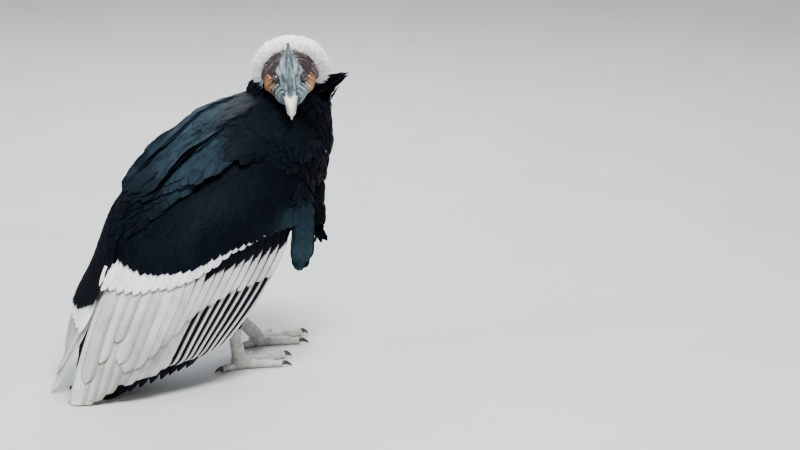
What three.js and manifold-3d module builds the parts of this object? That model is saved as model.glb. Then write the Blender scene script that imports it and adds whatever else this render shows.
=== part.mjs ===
// Andean condor, adult male, standing with loosely folded, drooping wings and its head turned
// back over its right shoulder. Life size, millimetres, +Z up. The bird faces -Y, its right
// side is -X, and the origin is on the floor under the middle of its right foot.
import * as THREE from "three";
import { mergeVertices } from "three/addons/utils/BufferGeometryUtils.js";
import Module from "manifold-3d";

const wasm = await Module();
wasm.setup();

// Driving dimensions
const GAP = 0.35; // clearance kept between touching nodes
const VANE_THICK = 0.9; // a flight feather's blade at its root
const TIP_THICK = 0.55; // and at its tip
const FLOOR_CLEAR = 3.6; // how far the wings' hanging feathers stay above the floor

// Trunk: places along the spine in the plane of symmetry, as y, z, half width and half depth
const TRUNK = [
  { y: 182, z: 192, wide: 34, deep: 20 },
  { y: 160, z: 208, wide: 58, deep: 42 },
  { y: 118, z: 234, wide: 86, deep: 70 },
  { y: 58, z: 282, wide: 112, deep: 100 },
  { y: -12, z: 342, wide: 132, deep: 134 },
  { y: -84, z: 390, wide: 138, deep: 136 },
  { y: -138, z: 424, wide: 122, deep: 120 },
  { y: -165, z: 458, wide: 100, deep: 100 },
];
const TRUNK_SIDES = 18;
const TRUNK_STEPS = 11;

// Neck: a thick, drawn-in tube that ends behind the head
const NECK = [
  { at: [0, -150, 418], wide: 108, deep: 108 },
  { at: [-3, -170, 462], wide: 97, deep: 99 },
  { at: [-12, -174, 506], wide: 80, deep: 82 },
  { at: [-24, -158, 548], wide: 68, deep: 66 },
  { at: [-35, -149, 578], wide: 54, deep: 52 },
  { at: [-46, -144, 598], wide: 39, deep: 38 },
];

// Breast feathers that hang together in a point in front of the left wrist
const BREAST_TUFT = [
  { at: [-16, -150, 404], wide: 72, deep: 66 },
  { at: [-42, -180, 346], wide: 46, deep: 44 },
  { at: [-56, -200, 294], wide: 24, deep: 24 },
  { at: [-60, -207, 252], wide: 3, deep: 3 },
];

// Long feathers on the far side of the neck, lifted by the wind: root, tip and half width
const NECK_TUFTS = [
  { root: [-60, -194, 536], tip: [-108, -254, 566], half: 11 },
  { root: [-58, -196, 520], tip: [-98, -250, 534], half: 11 },
  { root: [-62, -186, 550], tip: [-104, -236, 590], half: 10 },
];

// Head: its centre, and how far it is turned, bent down and rolled from facing -Y
const HEAD_AT = [-70, -125, 578];
const HEAD_TURN = -129;
const HEAD_BEND = 25;
const HEAD_ROLL = -3;

// Wing surface of one side, as distance out from the midline, y and z. Each row runs from the
// leading edge at the wrist to the innermost feather by the midline; rows go from under the
// shoulder feathers down to the tips of the secondaries.
const WING_ROWS = [
  [[146, -75, 378], [124, 20, 424], [80, 110, 412], [20, 188, 376]],
  [[156, -62, 325], [150, 64, 352], [112, 172, 344], [16, 242, 322]],
  [[152, -38, 262], [150, 92, 264], [124, 234, 224], [16, 300, 214]],
  [[150, 40, 160], [150, 165, 162], [126, 290, 128], [26, 358, 108]],
  [[141, 133, 72], [138, 228, 60], [112, 330, 34], [52, 410, 12]],
];
const LEFT_DRAWN = 26; // the left wing's tip is drawn this far forward
const LEFT_RAISED = 22; // and this far up
const ARM_END = 0.46; // how far down the surface the fleshy, feathered arm reaches
const ARM_THICK = 32;
const ARM_EDGE = 13;

const SECONDARIES = 12;
const GREATER_COVERTS = 10;
const PRIMARIES = 6;
const SCAPULARS = 6;
const MANTLE_FEATHERS = 5;
const BACK_FEATHERS = 6;
const TAIL_FEATHERS = 12;

const COLOURS = {
  black: 0x0d0f14,
  cream: 0xcfd0cb,
  ruff: 0xf6f3f2,
  skin: 0x5a3f44,
  comb: 0x2e2a30,
  bill: 0x8fa3a6,
  leg: 0xbcc2bb,
  claw: 0x1d1c1c,
  eye: 0x5a2a12,
};

// Seeded random numbers between -1 and 1
let seed = 20240607;
function vary() {
  seed = (Math.imul(seed, 1664525) + 1013904223) >>> 0;
  return (seed / 4294967296) * 2 - 1;
}

function v(x, y, z) {
  return new THREE.Vector3(x, y, z);
}

function mix(a, b, f) {
  return a + (b - a) * f;
}

// A closed geometry from rings of equally many points, with a fan over each end
function loft(rings) {
  const points = rings.flat();
  const count = rings[0].length;
  const faces = [];
  for (let i = 0; i + 1 < rings.length; i += 1) {
    for (let j = 0; j < count; j += 1) {
      const k = (j + 1) % count;
      const a = i * count + j;
      const b = i * count + k;
      faces.push(a, b, b + count, a, b + count, a + count);
    }
  }
  const first = points.length;
  points.push(middle(rings[0]), middle(rings[rings.length - 1]));
  const last = (rings.length - 1) * count;
  for (let j = 0; j < count; j += 1) {
    const k = (j + 1) % count;
    faces.push(first, k, j);
    faces.push(first + 1, last + j, last + k);
  }
  return outward(points, faces);
}

function middle(ring) {
  const sum = v(0, 0, 0);
  for (const point of ring) sum.add(point);
  return sum.divideScalar(ring.length);
}

// A geometry whose faces point out, whichever way round its points were given
function outward(points, faces) {
  let volume = 0;
  for (let i = 0; i < faces.length; i += 3) {
    const cross = points[faces[i + 1]].clone().cross(points[faces[i + 2]]);
    volume += points[faces[i]].dot(cross);
  }
  const turned = [];
  for (let i = 0; i < faces.length; i += 3) {
    if (volume < 0) turned.push(faces[i], faces[i + 2], faces[i + 1]);
    else turned.push(faces[i], faces[i + 1], faces[i + 2]);
  }
  const geometry = new THREE.BufferGeometry();
  geometry.setFromPoints(points);
  geometry.setIndex(turned);
  return geometry;
}

// A round body along a smooth path of stations, each with a place, a half width and a half depth
function bodyAlong(stations, sides, steps, grow = 0, side = v(1, 0, 0)) {
  const path = new THREE.CatmullRomCurve3(stations.map((s) => v(...s.at)));
  const rings = [];
  for (let i = 0; i <= steps; i += 1) {
    const f = i / steps;
    const at = path.getPoint(f);
    const ahead = path.getTangent(f);
    const across = side.clone().addScaledVector(ahead, -side.dot(ahead)).normalize();
    const up = across.clone().cross(ahead).normalize();
    const place = f * (stations.length - 1);
    const low = Math.min(Math.floor(place), stations.length - 2);
    const part = smooth(place - low);
    const wide = mix(stations[low].wide, stations[low + 1].wide, part) + grow;
    const deep = mix(stations[low].deep, stations[low + 1].deep, part) + grow;
    const shift = (i === 0 ? -grow : 0) + (i === steps ? grow : 0);
    const ring = [];
    for (let j = 0; j < sides; j += 1) {
      const angle = (2 * Math.PI * j) / sides;
      const point = at.clone().addScaledVector(ahead, shift);
      point.addScaledVector(across, wide * Math.cos(angle));
      point.addScaledVector(up, deep * Math.sin(angle));
      ring.push(point);
    }
    rings.push(ring);
  }
  return loft(rings);
}

function smooth(f) {
  return f * f * (3 - 2 * f) * 0.5 + f * 0.5;
}

// A tapered feather blade: its middle line, the direction across it at each point, its half
// width and its thickness. Both faces are split into triangles alike.
function vane(line, across, halfWidth, steps, thick = VANE_THICK, tip = TIP_THICK) {
  const rings = [];
  for (let i = 0; i <= steps; i += 1) {
    const f = i / steps;
    const at = line(f);
    const ahead = line(Math.min(f + 0.02, 1)).sub(line(Math.max(f - 0.02, 0))).normalize();
    const side = across(f).clone();
    side.addScaledVector(ahead, -side.dot(ahead)).normalize();
    const up = side.clone().cross(ahead).multiplyScalar(mix(thick, tip, f) / 2);
    const half = side.multiplyScalar(halfWidth(f));
    rings.push([
      at.clone().sub(half).sub(up),
      at.clone().add(half).sub(up),
      at.clone().add(half).add(up),
      at.clone().sub(half).add(up),
    ]);
  }
  return slab(rings);
}

// A closed strip of four-cornered rings, with plain quads at its ends
function slab(rings) {
  const points = rings.flat();
  const faces = [];
  for (let i = 0; i + 1 < rings.length; i += 1) {
    const a = i * 4;
    const b = a + 4;
    faces.push(a, a + 1, b + 1, a, b + 1, b);
    faces.push(a + 3, b + 2, a + 2, a + 3, b + 3, b + 2);
    faces.push(a + 1, a + 2, b + 2, a + 1, b + 2, b + 1);
    faces.push(a + 3, a, b, a + 3, b, b + 3);
  }
  const end = (rings.length - 1) * 4;
  faces.push(0, 2, 1, 0, 3, 2);
  faces.push(end, end + 1, end + 2, end, end + 2, end + 3);
  return outward(points, faces);
}

// Half width of a feather: narrow at the root, widest past the middle, round at the tip
function featherWidth(root, widest, tipStart = 0.72, end = 0.22) {
  return (f) => {
    const body = mix(root, widest, Math.min(1, Math.sqrt(f / 0.45)));
    const late = Math.max(0, (f - tipStart) / (1 - tipStart));
    return body * Math.max(end, Math.sqrt(1 - late ** 2.4));
  };
}

function solid(geometry) {
  const bare = new THREE.BufferGeometry();
  bare.setAttribute("position", geometry.getAttribute("position").clone());
  if (geometry.index) bare.setIndex(geometry.index.clone());
  const merged = mergeVertices(bare, 1e-4);
  return new wasm.Manifold(
    new wasm.Mesh({
      numProp: 3,
      vertProperties: new Float32Array(merged.getAttribute("position").array),
      triVerts: new Uint32Array(merged.index.array),
    }),
  );
}

function join(first, others) {
  let whole = first;
  for (const other of others) whole = whole.add(solid(other));
  return whole;
}

// Only the largest closed surface is kept, which fills a sealed hollow and drops loose scraps
function largest(body) {
  let best = null;
  for (const piece of body.decompose()) {
    if (best === null || piece.volume() > best.volume()) best = piece;
  }
  return best;
}

function node(name, body, colour, roughness, parent) {
  const mesh = largest(body).getMesh();
  const geometry = new THREE.BufferGeometry();
  geometry.setAttribute("position", new THREE.BufferAttribute(mesh.vertProperties, 3));
  geometry.setIndex(new THREE.BufferAttribute(mesh.triVerts, 1));
  geometry.computeVertexNormals();
  const material = new THREE.MeshStandardMaterial({ color: colour, roughness, metalness: 0 });
  const item = new THREE.Mesh(geometry, material);
  item.name = name;
  parent.add(item);
}

function moved(geometry, matrix) {
  return geometry.clone().applyMatrix4(matrix);
}

const group = new THREE.Group();
const bird = new THREE.Group();
group.add(bird);

// Wing surface: the point at s, from wrist to midline, and t, from shoulder to tips
function wingPoint(side, s, t) {
  const column = WING_ROWS.map((row) => {
    const curve = new THREE.CatmullRomCurve3(row.map((p) => v(...p)));
    return extended(curve, s);
  });
  const point = extended(new THREE.CatmullRomCurve3(column), t);
  point.x *= side;
  if (side > 0) {
    point.y -= LEFT_DRAWN * t * Math.abs(t);
    point.z += LEFT_RAISED * t * Math.abs(t);
  }
  return point;
}

// A curve's point, carried on straight past either end
function extended(curve, f) {
  const held = THREE.MathUtils.clamp(f, 0, 1);
  const point = curve.getPoint(held);
  if (f !== held) {
    const near = curve.getPoint(held === 0 ? 0.02 : 0.98);
    point.addScaledVector(point.clone().sub(near), Math.abs(f - held) / 0.02);
  }
  return point;
}

function wingAcross(side, s, t) {
  return wingPoint(side, s + 0.02, t).sub(wingPoint(side, s - 0.02, t)).normalize();
}

// Outward normal of the wing surface
function wingNormal(side, s, t) {
  const across = wingAcross(side, s, t);
  const down = wingPoint(side, s, t + 0.02).sub(wingPoint(side, s, t - 0.02)).normalize();
  return across.cross(down).multiplyScalar(-side).normalize();
}

// A feather that lies along the wing surface, lifted by a height and tipped so that its outer
// edge lies over the next feather out
function wingVane(side, { place, from, to, lift, tip, widths, steps, thick = VANE_THICK }) {
  const line = (f) => {
    const s = place(f);
    const t = mix(from, to, f);
    const point = wingPoint(side, s, t).addScaledVector(wingNormal(side, s, t), lift(f));
    point.z = Math.max(point.z, FLOOR_CLEAR);
    return point;
  };
  const across = (f) => {
    const s = place(f);
    const t = mix(from, to, f);
    return wingAcross(side, s, t).addScaledVector(wingNormal(side, s, t), -tip);
  };
  return vane(line, across, widths, steps, thick);
}

// The arm: a thick curved plate under the covert feathers, thinner towards its lower edge
function armPlate(side) {
  const columns = 10;
  const rows = 5;
  const rings = [];
  for (let i = 0; i <= columns; i += 1) {
    const s = mix(-0.03, 0.985, i / columns);
    const outer = [];
    const inner = [];
    for (let j = 0; j <= rows; j += 1) {
      const t = mix(0, ARM_END, j / rows);
      const point = wingPoint(side, s, t);
      const normal = wingNormal(side, s, t);
      const bulge = Math.sin((Math.PI * i) / columns) ** 0.5;
      const thick = mix(ARM_THICK, ARM_EDGE, (j / rows) ** 1.5) * mix(0.42, 1, bulge);
      const rim = j === 0 ? 7 : 0;
      outer.push(point.clone().addScaledVector(normal, -rim));
      inner.push(point.clone().addScaledVector(normal, -thick));
    }
    rings.push([...outer, ...inner.reverse()]);
  }
  return loft(rings);
}

function trunkStations() {
  return TRUNK.map((s) => ({ at: [0, s.y, s.z], wide: s.wide, deep: s.deep }));
}

const trunk = bodyAlong(trunkStations(), TRUNK_SIDES, TRUNK_STEPS);
const trunkGrown = bodyAlong(trunkStations(), TRUNK_SIDES, TRUNK_STEPS, GAP);

// Mantle feathers of one side grow from the upper back and lie over the top of the wing
function mantleFeather(side, k) {
  const f = k / (MANTLE_FEATHERS - 1);
  const s = mix(0.2, 0.9, f);
  const tip = wingPoint(side, s, 0.1).addScaledVector(wingNormal(side, s, 0.1), 15 + 2.6 * (k % 2));
  const root = v(side * mix(84, 30, f), mix(-70, 20, f), mix(438, 432, f));
  const mid = wingPoint(side, s, -0.12).addScaledVector(wingNormal(side, s, 0), 21);
  const curve = new THREE.QuadraticBezierCurve3(root, mid, tip);
  const across = wingAcross(side, s, 0.05);
  return vane((p) => curve.getPoint(p), () => across, featherWidth(15, 25, 0.68, 0.3), 3, 1.6, 0.8);
}

// The row down the middle of the back, over the inner edges of both wings. Each feather's root
// passes through the one above it, so that the row holds together.
const BACK_START = -0.3; // place of the first tip down the wing's inner edge
const BACK_STEP = 0.14;
const BACK_LENGTH = 0.34;
const BACK_LIFT = [17.5, 13.5, 20]; // height over the wing at the root, past it and at the tip

function backFeather(k) {
  const end = BACK_START + BACK_STEP * k;
  const places = BACK_LIFT.map((lift, i) => {
    const t = end - BACK_LENGTH * (1 - [0, 0.35, 1][i]);
    const point = wingPoint(1, 1, t).addScaledVector(wingNormal(1, 1, t), lift);
    point.x = 0;
    return point;
  });
  const curve = new THREE.CatmullRomCurve3(places);
  const widths = featherWidth(20, 29, 0.66, 0.3);
  return vane((p) => curve.getPoint(p), () => v(1, 0, 0), widths, 3, 1.6, 0.8);
}

function buildTorso() {
  const feathers = [];
  for (const side of [-1, 1]) {
    for (let k = 0; k < MANTLE_FEATHERS; k += 1) feathers.push(mantleFeather(side, k));
  }
  for (let k = 0; k < BACK_FEATHERS; k += 1) feathers.push(backFeather(k));
  feathers.push(bodyAlong(BREAST_TUFT, 12, 6));
  return join(solid(trunk), feathers);
}

const neckShape = (grow) => bodyAlong(NECK, 18, 9, grow);

function neckTuft({ root, tip, half }, grow = 0) {
  const start = v(...root);
  const end = v(...tip);
  const line = (f) => start.clone().lerp(end, f).add(v(0, 0, 6 * Math.sin(Math.PI * f)));
  const widths = (f) => grow + half * Math.max(0.12, Math.sin(Math.PI * mix(0.3, 0.97, f)));
  return vane(line, () => v(0, 0, 1), widths, 3, 3 + 2 * grow, 0.8 + 2 * grow);
}

// Wing: the arm plate with the secondaries and the greater coverts
function buildWing(side) {
  const feathers = [];
  for (let k = 0; k < SECONDARIES; k += 1) {
    const f = k / (SECONDARIES - 1);
    const s = mix(0.02, 0.96, f);
    feathers.push(
      wingVane(side, {
        place: () => s,
        from: 0.38,
        to: 1 + 0.012 * vary(),
        lift: (p) => mix(-9.5, -7, p),
        tip: 0.14,
        widths: featherWidth(12, 20, 0.78, 0.25),
        steps: 4,
      }),
    );
  }
  for (let k = 0; k < GREATER_COVERTS; k += 1) {
    const f = k / (GREATER_COVERTS - 1);
    const s = mix(0.03, 0.95, f);
    feathers.push(
      wingVane(side, {
        place: () => s,
        from: 0.34,
        to: mix(0.53, 0.56, f) + 0.01 * vary(),
        lift: (p) => mix(-3.5, 1.5, p),
        tip: 0.14,
        widths: featherWidth(15, 21, 0.5, 0.35),
        steps: 3,
      }),
    );
  }
  for (let k = 0; k < SCAPULARS; k += 1) {
    const f = k / (SCAPULARS - 1);
    const s = mix(0.3, 0.95, f);
    feathers.push(
      wingVane(side, {
        place: () => s,
        from: 0.02,
        to: 0.14 + 0.28 * f * f,
        lift: (p) => mix(-9, 6.5, Math.sqrt(p)),
        tip: 0.16,
        widths: featherWidth(18, 26, 0.5, 0.35),
        steps: 3,
        thick: 1.4,
      }),
    );
  }
  const arm = solid(armPlate(side)).subtract(solid(trunkGrown));
  return join(arm, feathers);
}

// Hand: the lobe of small feathers at the wrist with the folded primaries that run down and
// back under the secondaries
function handLobe(side, grow) {
  const stations = [
    { at: [side * 146, -86, 392], wide: 5, deep: 8 },
    { at: [side * 149, -86, 374], wide: 10, deep: 18 },
    { at: [side * 153, -86, 320], wide: 13, deep: 23 },
    { at: [side * 152, -86, 262], wide: 12, deep: 22 },
    { at: [side * 148, -84, 226], wide: 8, deep: 15 },
    { at: [side * 145, -82, 208], wide: 3, deep: 6 },
  ];
  return bodyAlong(stations, 10, 8, grow);
}

function buildHand(side) {
  const feathers = [];
  for (let k = 0; k < PRIMARIES; k += 1) {
    const f = k / (PRIMARIES - 1);
    const endPlace = mix(0.1, 0.74, f);
    feathers.push(
      wingVane(side, {
        place: (p) => mix(-0.06, endPlace, Math.min(1, p * 1.25)),
        from: 0.3,
        to: 1.06,
        lift: (p) => mix(-15, -25, Math.min(1, p * 4)) - 1.3 * k,
        tip: 0,
        widths: featherWidth(9, 15, 0.8, 0.25),
        steps: 5,
      }),
    );
  }
  return join(solid(handLobe(side, 0)), feathers);
}

// Tail: twelve feathers that leave a short fleshy root, bend down to the floor and lie on it
const TAIL_LINE = [
  [150, 214],
  [196, 168],
  [232, 108],
  [262, 46],
  [300, 10],
  [345, 0],
];

function buildTail() {
  const path = new THREE.CatmullRomCurve3(TAIL_LINE.map((p) => v(0, p[0], p[1])));
  const feathers = [];
  for (let k = 0; k < TAIL_FEATHERS; k += 1) {
    const place = k - (TAIL_FEATHERS - 1) / 2;
    const rank = Math.round((TAIL_FEATHERS - 1) / 2 - Math.abs(place)) * 2 + (place > 0 ? 1 : 0);
    const spread = place * 9.2;
    const line = (f) => {
      const point = path.getPoint(mix(0.1, 1 - 0.004 * Math.abs(place), f));
      const ahead = path.getTangent(mix(0.1, 1, f));
      const up = v(1, 0, 0).cross(ahead).normalize();
      const lift = 1.15 * rank + VANE_THICK / 2;
      point.addScaledVector(up, -lift * Math.sign(-up.z || -1));
      point.x += spread * (0.25 + 0.75 * f);
      point.z = Math.max(point.z, lift);
      return point;
    };
    feathers.push(vane(line, () => v(1, 0, 0), featherWidth(7, 14, 0.8, 0.4), 4, VANE_THICK, VANE_THICK));
  }
  const root = bodyAlong(
    [
      { at: [0, 150, 214], wide: 44, deep: 24 },
      { at: [0, 178, 192], wide: 40, deep: 21 },
      { at: [0, 206, 156], wide: 33, deep: 15 },
      { at: [0, 222, 128], wide: 26, deep: 10 },
    ],
    12,
    4,
  );
  return join(solid(root).subtract(solid(trunkGrown)), feathers).subtract(solid(trunkGrown));
}

// Legs: where each foot stands and where its ankle is
const LEGS = [
  { name: "right", foot: [-56, 0], ankle: [-56, 16, 112], knee: [-62, -4, 236] },
  { name: "left", foot: [52, -138], ankle: [54, -66, 104], knee: [60, -22, 232] },
];
const TARSUS_RADIUS = 13;
const PAD_RADIUS = 17;
const PAD_SUNK = 2.5; // how far the pad is pressed flat by the floor
const FLOOR_BLOCK = 500; // a block below the floor, which cuts the soles flat

function thighShape(leg, grow = 0) {
  const [ax, ay, az] = leg.ankle;
  const [kx, ky, kz] = leg.knee;
  return bodyAlong(
    [
      { at: [kx, ky, kz + 34], wide: 34, deep: 58 },
      { at: [kx, ky, kz], wide: 44, deep: 66 },
      { at: [mix(kx, ax, 0.45), mix(ky, ay, 0.45), mix(kz, az, 0.45)], wide: 36, deep: 46 },
      { at: [mix(kx, ax, 0.8), mix(ky, ay, 0.8), mix(kz, az, 0.8)], wide: 28, deep: 31 },
      { at: [ax, ay, az - 14], wide: 20, deep: 21 },
    ],
    16,
    8,
    grow,
  );
}

const TOE_SUNK = 0.7; // how far the toes are pressed flat
const TOES = [
  { turn: 0, length: 114, radius: 11.5, claw: 29 },
  { turn: 32, length: 82, radius: 10, claw: 26 },
  { turn: -32, length: 86, radius: 10, claw: 26 },
  { turn: 176, length: 42, radius: 9, claw: 22 },
];

function toeGroundPoint(turn, reach, height) {
  const angle = THREE.MathUtils.degToRad(turn);
  return [reach * Math.sin(angle), -reach * Math.cos(angle), height];
}

function toeShape(toe) {
  const stations = [];
  const beads = 6;
  for (let i = 0; i <= beads; i += 1) {
    const f = i / beads;
    const swell = 1 + 0.09 * Math.cos(f * Math.PI * 6);
    const radius = mix(toe.radius, toe.radius * 0.72, f) * swell;
    const at = toeGroundPoint(toe.turn, f * toe.length, radius - TOE_SUNK);
    stations.push({ at, wide: radius, deep: radius });
  }
  return bodyAlong(stations, 6, 6, 0, v(0, 0, 1));
}

// A claw's stations, as shares of the claw's length and of its root's radius
const CLAW_STATIONS = [
  { along: 0, height: 0.72, wide: 1, deep: 0.86 },
  { along: 0.42, height: 0.86, wide: 0.8, deep: 0.62 },
  { along: 0.82, height: 0.5, wide: 0.42, deep: 0.32 },
  { along: 1, height: 0.15, wide: 0.15, deep: 0.13 },
];

function clawShape(toe, grow = 0) {
  const radius = toe.radius * 0.62;
  const stations = CLAW_STATIONS.map(({ along, height, wide, deep }) => ({
    at: toeGroundPoint(toe.turn, toe.length - 5 + toe.claw * along, toe.radius * height),
    wide: radius * wide,
    deep: radius * deep,
  }));
  return bodyAlong(stations, 6, 4, grow, v(0, 0, 1));
}

function buildFoot(leg, home) {
  const [fx, fy] = leg.foot;
  const [ax, ay, az] = leg.ankle;
  const shin = bodyAlong(
    [
      { at: [0, 0, 7], wide: 15, deep: 16 },
      { at: [0, 0, 20], wide: TARSUS_RADIUS, deep: TARSUS_RADIUS + 1 },
      {
        at: [(ax - fx) * 0.55, (ay - fy) * 0.55, az * 0.58],
        wide: TARSUS_RADIUS - 1,
        deep: TARSUS_RADIUS,
      },
      { at: [ax - fx, ay - fy, az], wide: TARSUS_RADIUS + 2, deep: TARSUS_RADIUS + 2 },
    ],
    8,
    4,
  );
  const pad = new THREE.SphereGeometry(PAD_RADIUS, 8, 5).translate(0, 0, PAD_RADIUS - PAD_SUNK);
  let foot = join(solid(shin), [pad, ...TOES.map(toeShape)]);
  for (const toe of TOES) foot = foot.subtract(solid(clawShape(toe, GAP)));
  const below = new THREE.BoxGeometry(FLOOR_BLOCK, FLOOR_BLOCK, FLOOR_BLOCK);
  below.translate(0, 0, -FLOOR_BLOCK / 2);
  foot = foot.subtract(solid(below));
  return foot.subtract(solid(moved(thighShape(leg, GAP), home)));
}

// Head, modelled facing -Y around its own centre
function skullShape(grow = 0) {
  return bodyAlong(
    [
      { at: [0, 62, -8], wide: 32, deep: 32 },
      { at: [0, 44, -4], wide: 46, deep: 45 },
      { at: [0, 22, 2], wide: 50, deep: 48 },
      { at: [0, 2, 4], wide: 44, deep: 44 },
      { at: [0, -16, 2], wide: 34, deep: 37 },
      { at: [0, -34, -4], wide: 24, deep: 28 },
      { at: [0, -50, -8], wide: 17, deep: 21 },
    ],
    14,
    8,
    grow,
  );
}

// One side's fold of bare skin as a bent, tapering roll
function skinRoll(side, points, thick) {
  const last = points.length - 1;
  const stations = points.map((p, i) => {
    const f = Math.sin(Math.PI * mix(0.12, 0.88, i / last));
    return { at: [side * p[0], p[1], p[2]], wide: thick * f, deep: thick * f };
  });
  return bodyAlong(stations, 5, 4, 0, v(0, 1, 0.01));
}

// Grey folds beside the bill, then the cheek wattles, then the arched folds of the brow and crown
const SKIN_ROLLS = [
  { points: [[17, -50, 2], [22, -46, -10], [23, -38, -28], [15, -32, -42]], thick: 6.5 },
  { points: [[24, -34, 8], [30, -29, -6], [29, -22, -25], [20, -18, -42]], thick: 8 },
  { points: [[36, -14, 12], [42, -9, -3], [41, -3, -22], [31, 2, -38]], thick: 8.5 },
  { points: [[46, 0, 8], [51, 6, -8], [48, 12, -25], [37, 16, -40]], thick: 8 },
  { points: [[9, -22, 42], [27, -17, 35], [38, -8, 20], [43, 0, 4]], thick: 6 },
  { points: [[10, 0, 50], [32, 3, 42], [46, 9, 22], [50, 14, 2]], thick: 6.5 },
  { points: [[10, 22, 52], [34, 23, 43], [50, 27, 20], [53, 30, -4]], thick: 6.5 },
];

// The corner of the mouth, cut as a thin line back from the bill into the grey folds
function mouthLine(side) {
  const line = (f) => v(side * mix(10, 33, f), mix(-52, -18, f), mix(-21, -25, f));
  return vane(line, () => v(side, -0.4, 0), () => 9, 3, 1.2, 0.6);
}

const COMB_FRONT = -70;
const COMB_BACK = 17;
const COMB_RIM = 4; // the least height of the crest over the skull
const COMB_RISE = 37; // and how much more it has at its highest

function combShape(grow = 0) {
  const rings = [];
  const steps = 8;
  for (let i = 0; i <= steps; i += 1) {
    const f = i / steps;
    const y = mix(COMB_FRONT, COMB_BACK, f);
    const base = mix(3, 44, Math.sin((f * Math.PI) / 2));
    const top = base + COMB_RIM + COMB_RISE * Math.sin(Math.PI * mix(0.06, 0.72, f));
    const half = mix(8.5, 5.5, f) * (0.55 + 0.45 * Math.sin(Math.PI * f)) + grow;
    rings.push([
      v(-half, y, base - 14 - grow),
      v(half, y, base - 14 - grow),
      v(half * 0.9, y, mix(base, top, 0.6)),
      v(half * 0.4, y, top + grow),
      v(-half * 0.4, y, top + grow),
      v(-half * 0.9, y, mix(base, top, 0.6)),
    ]);
  }
  return loft(rings);
}

function upperBill(grow = 0) {
  return bodyAlong(
    [
      { at: [0, -34, -6], wide: 14, deep: 15 },
      { at: [0, -54, -6], wide: 14.5, deep: 14.5 },
      { at: [0, -72, -8], wide: 13, deep: 13 },
      { at: [0, -86, -12], wide: 10.5, deep: 11.5 },
      { at: [0, -95, -19], wide: 7.5, deep: 8.5 },
      { at: [0, -96, -27], wide: 4.2, deep: 4.8 },
      { at: [0, -93, -34], wide: 1, deep: 1.2 },
    ],
    12,
    9,
    grow,
  );
}

// The nostril, an upright slot right through the horn on both sides
function nostril() {
  return new THREE.SphereGeometry(1, 6, 4).scale(30, 5, 2.2).translate(0, -56, -1);
}

function lowerBill(grow = 0) {
  return bodyAlong(
    [
      { at: [0, -34, -24], wide: 13, deep: 7 },
      { at: [0, -58, -27], wide: 11.5, deep: 6 },
      { at: [0, -78, -29], wide: 8.5, deep: 4.5 },
      { at: [0, -87, -29], wide: 5, deep: 2.5 },
    ],
    12,
    6,
    grow,
  );
}

const EYE_AT = [27, -25, 18];
const EYE_RADIUS = 8;
const EYE_OUT = v(0.8, -0.55, 0.22).normalize();

function eyeShape(side, grow = 0) {
  const ball = new THREE.SphereGeometry(EYE_RADIUS + grow, 12, 8);
  ball.translate(side * EYE_AT[0], EYE_AT[1], EYE_AT[2]);
  return ball;
}

// Both lids of an eye, as one ring of skin round it
function lidRing(side) {
  const out = EYE_OUT.clone();
  out.x *= side;
  const ring = new THREE.TorusGeometry(7.6, 2.4, 4, 8);
  ring.applyQuaternion(new THREE.Quaternion().setFromUnitVectors(v(0, 0, 1), out));
  const centre = v(side * EYE_AT[0], EYE_AT[1], EYE_AT[2]).addScaledVector(out, 2.5);
  return ring.translate(centre.x, centre.y, centre.z);
}

// Ruff: an open collar of soft white locks round the back of the head
const RUFF_AT = v(0, 44, -14);
const RUFF_RADIUS = 50;
const RUFF_ARC = 236;

const RUFF_ROWS = [
  { locks: 9, forward: -9, reach: 76, back: 5 },
  { locks: 8, forward: 9, reach: 74, back: 5 },
  { locks: 6, forward: 24, reach: 62, back: 24 },
];

function ruffCore() {
  const stations = [];
  const count = 12;
  for (let i = 0; i <= count; i += 1) {
    const turn = THREE.MathUtils.degToRad(90 + RUFF_ARC * (i / count - 0.5));
    const at = [
      RUFF_AT.x + RUFF_RADIUS * Math.cos(turn),
      RUFF_AT.y,
      RUFF_AT.z + RUFF_RADIUS * Math.sin(turn),
    ];
    const end = Math.sin(Math.PI * mix(0.08, 0.92, i / count)) ** 0.4;
    stations.push({ at, wide: 15 * end, deep: 12 * end });
  }
  return bodyAlong(stations, 6, 12, 0, v(0, 1, 0));
}

function ruffLock(row, k) {
  const turn = THREE.MathUtils.degToRad(90 + RUFF_ARC * ((k + 0.5) / row.locks - 0.5));
  const out = v(Math.cos(turn), 0, Math.sin(turn));
  const round = v(-Math.sin(turn), 0, Math.cos(turn));
  const root = RUFF_AT.clone().addScaledVector(out, RUFF_RADIUS - 2);
  root.y += row.forward * 0.6;
  const mid = RUFF_AT.clone().addScaledVector(out, mix(RUFF_RADIUS, row.reach, 0.66));
  mid.y += row.forward - 5;
  const tip = RUFF_AT.clone().addScaledVector(out, row.reach + 2 * vary());
  tip.y += row.forward * 1.3 + row.back;
  const curve = new THREE.QuadraticBezierCurve3(root, mid, tip);
  const across = round.clone().addScaledVector(v(0, 1, 0), 0.4);
  const widths = (f) => 17 * Math.max(0.3, Math.sqrt(1 - Math.max(0, (f - 0.45) / 0.55) ** 2));
  return vane((p) => curve.getPoint(p), () => across, widths, 2, 3.6, 1.2);
}

// Assembly. The origin is moved to the middle of the right foot's sole.
bird.position.x = -LEGS[0].foot[0];
node("torso", buildTorso(), COLOURS.black, 0.75, bird);
const breastGrown = solid(bodyAlong(BREAST_TUFT, 12, 6, GAP));
const tufts = NECK_TUFTS.map((tuft) => neckTuft(tuft));
const neck = join(solid(neckShape(0)), tufts).subtract(solid(trunkGrown));
node("neck", neck.subtract(breastGrown), COLOURS.black, 0.75, bird);
node("tail", buildTail(), COLOURS.black, 0.6, bird);

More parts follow.
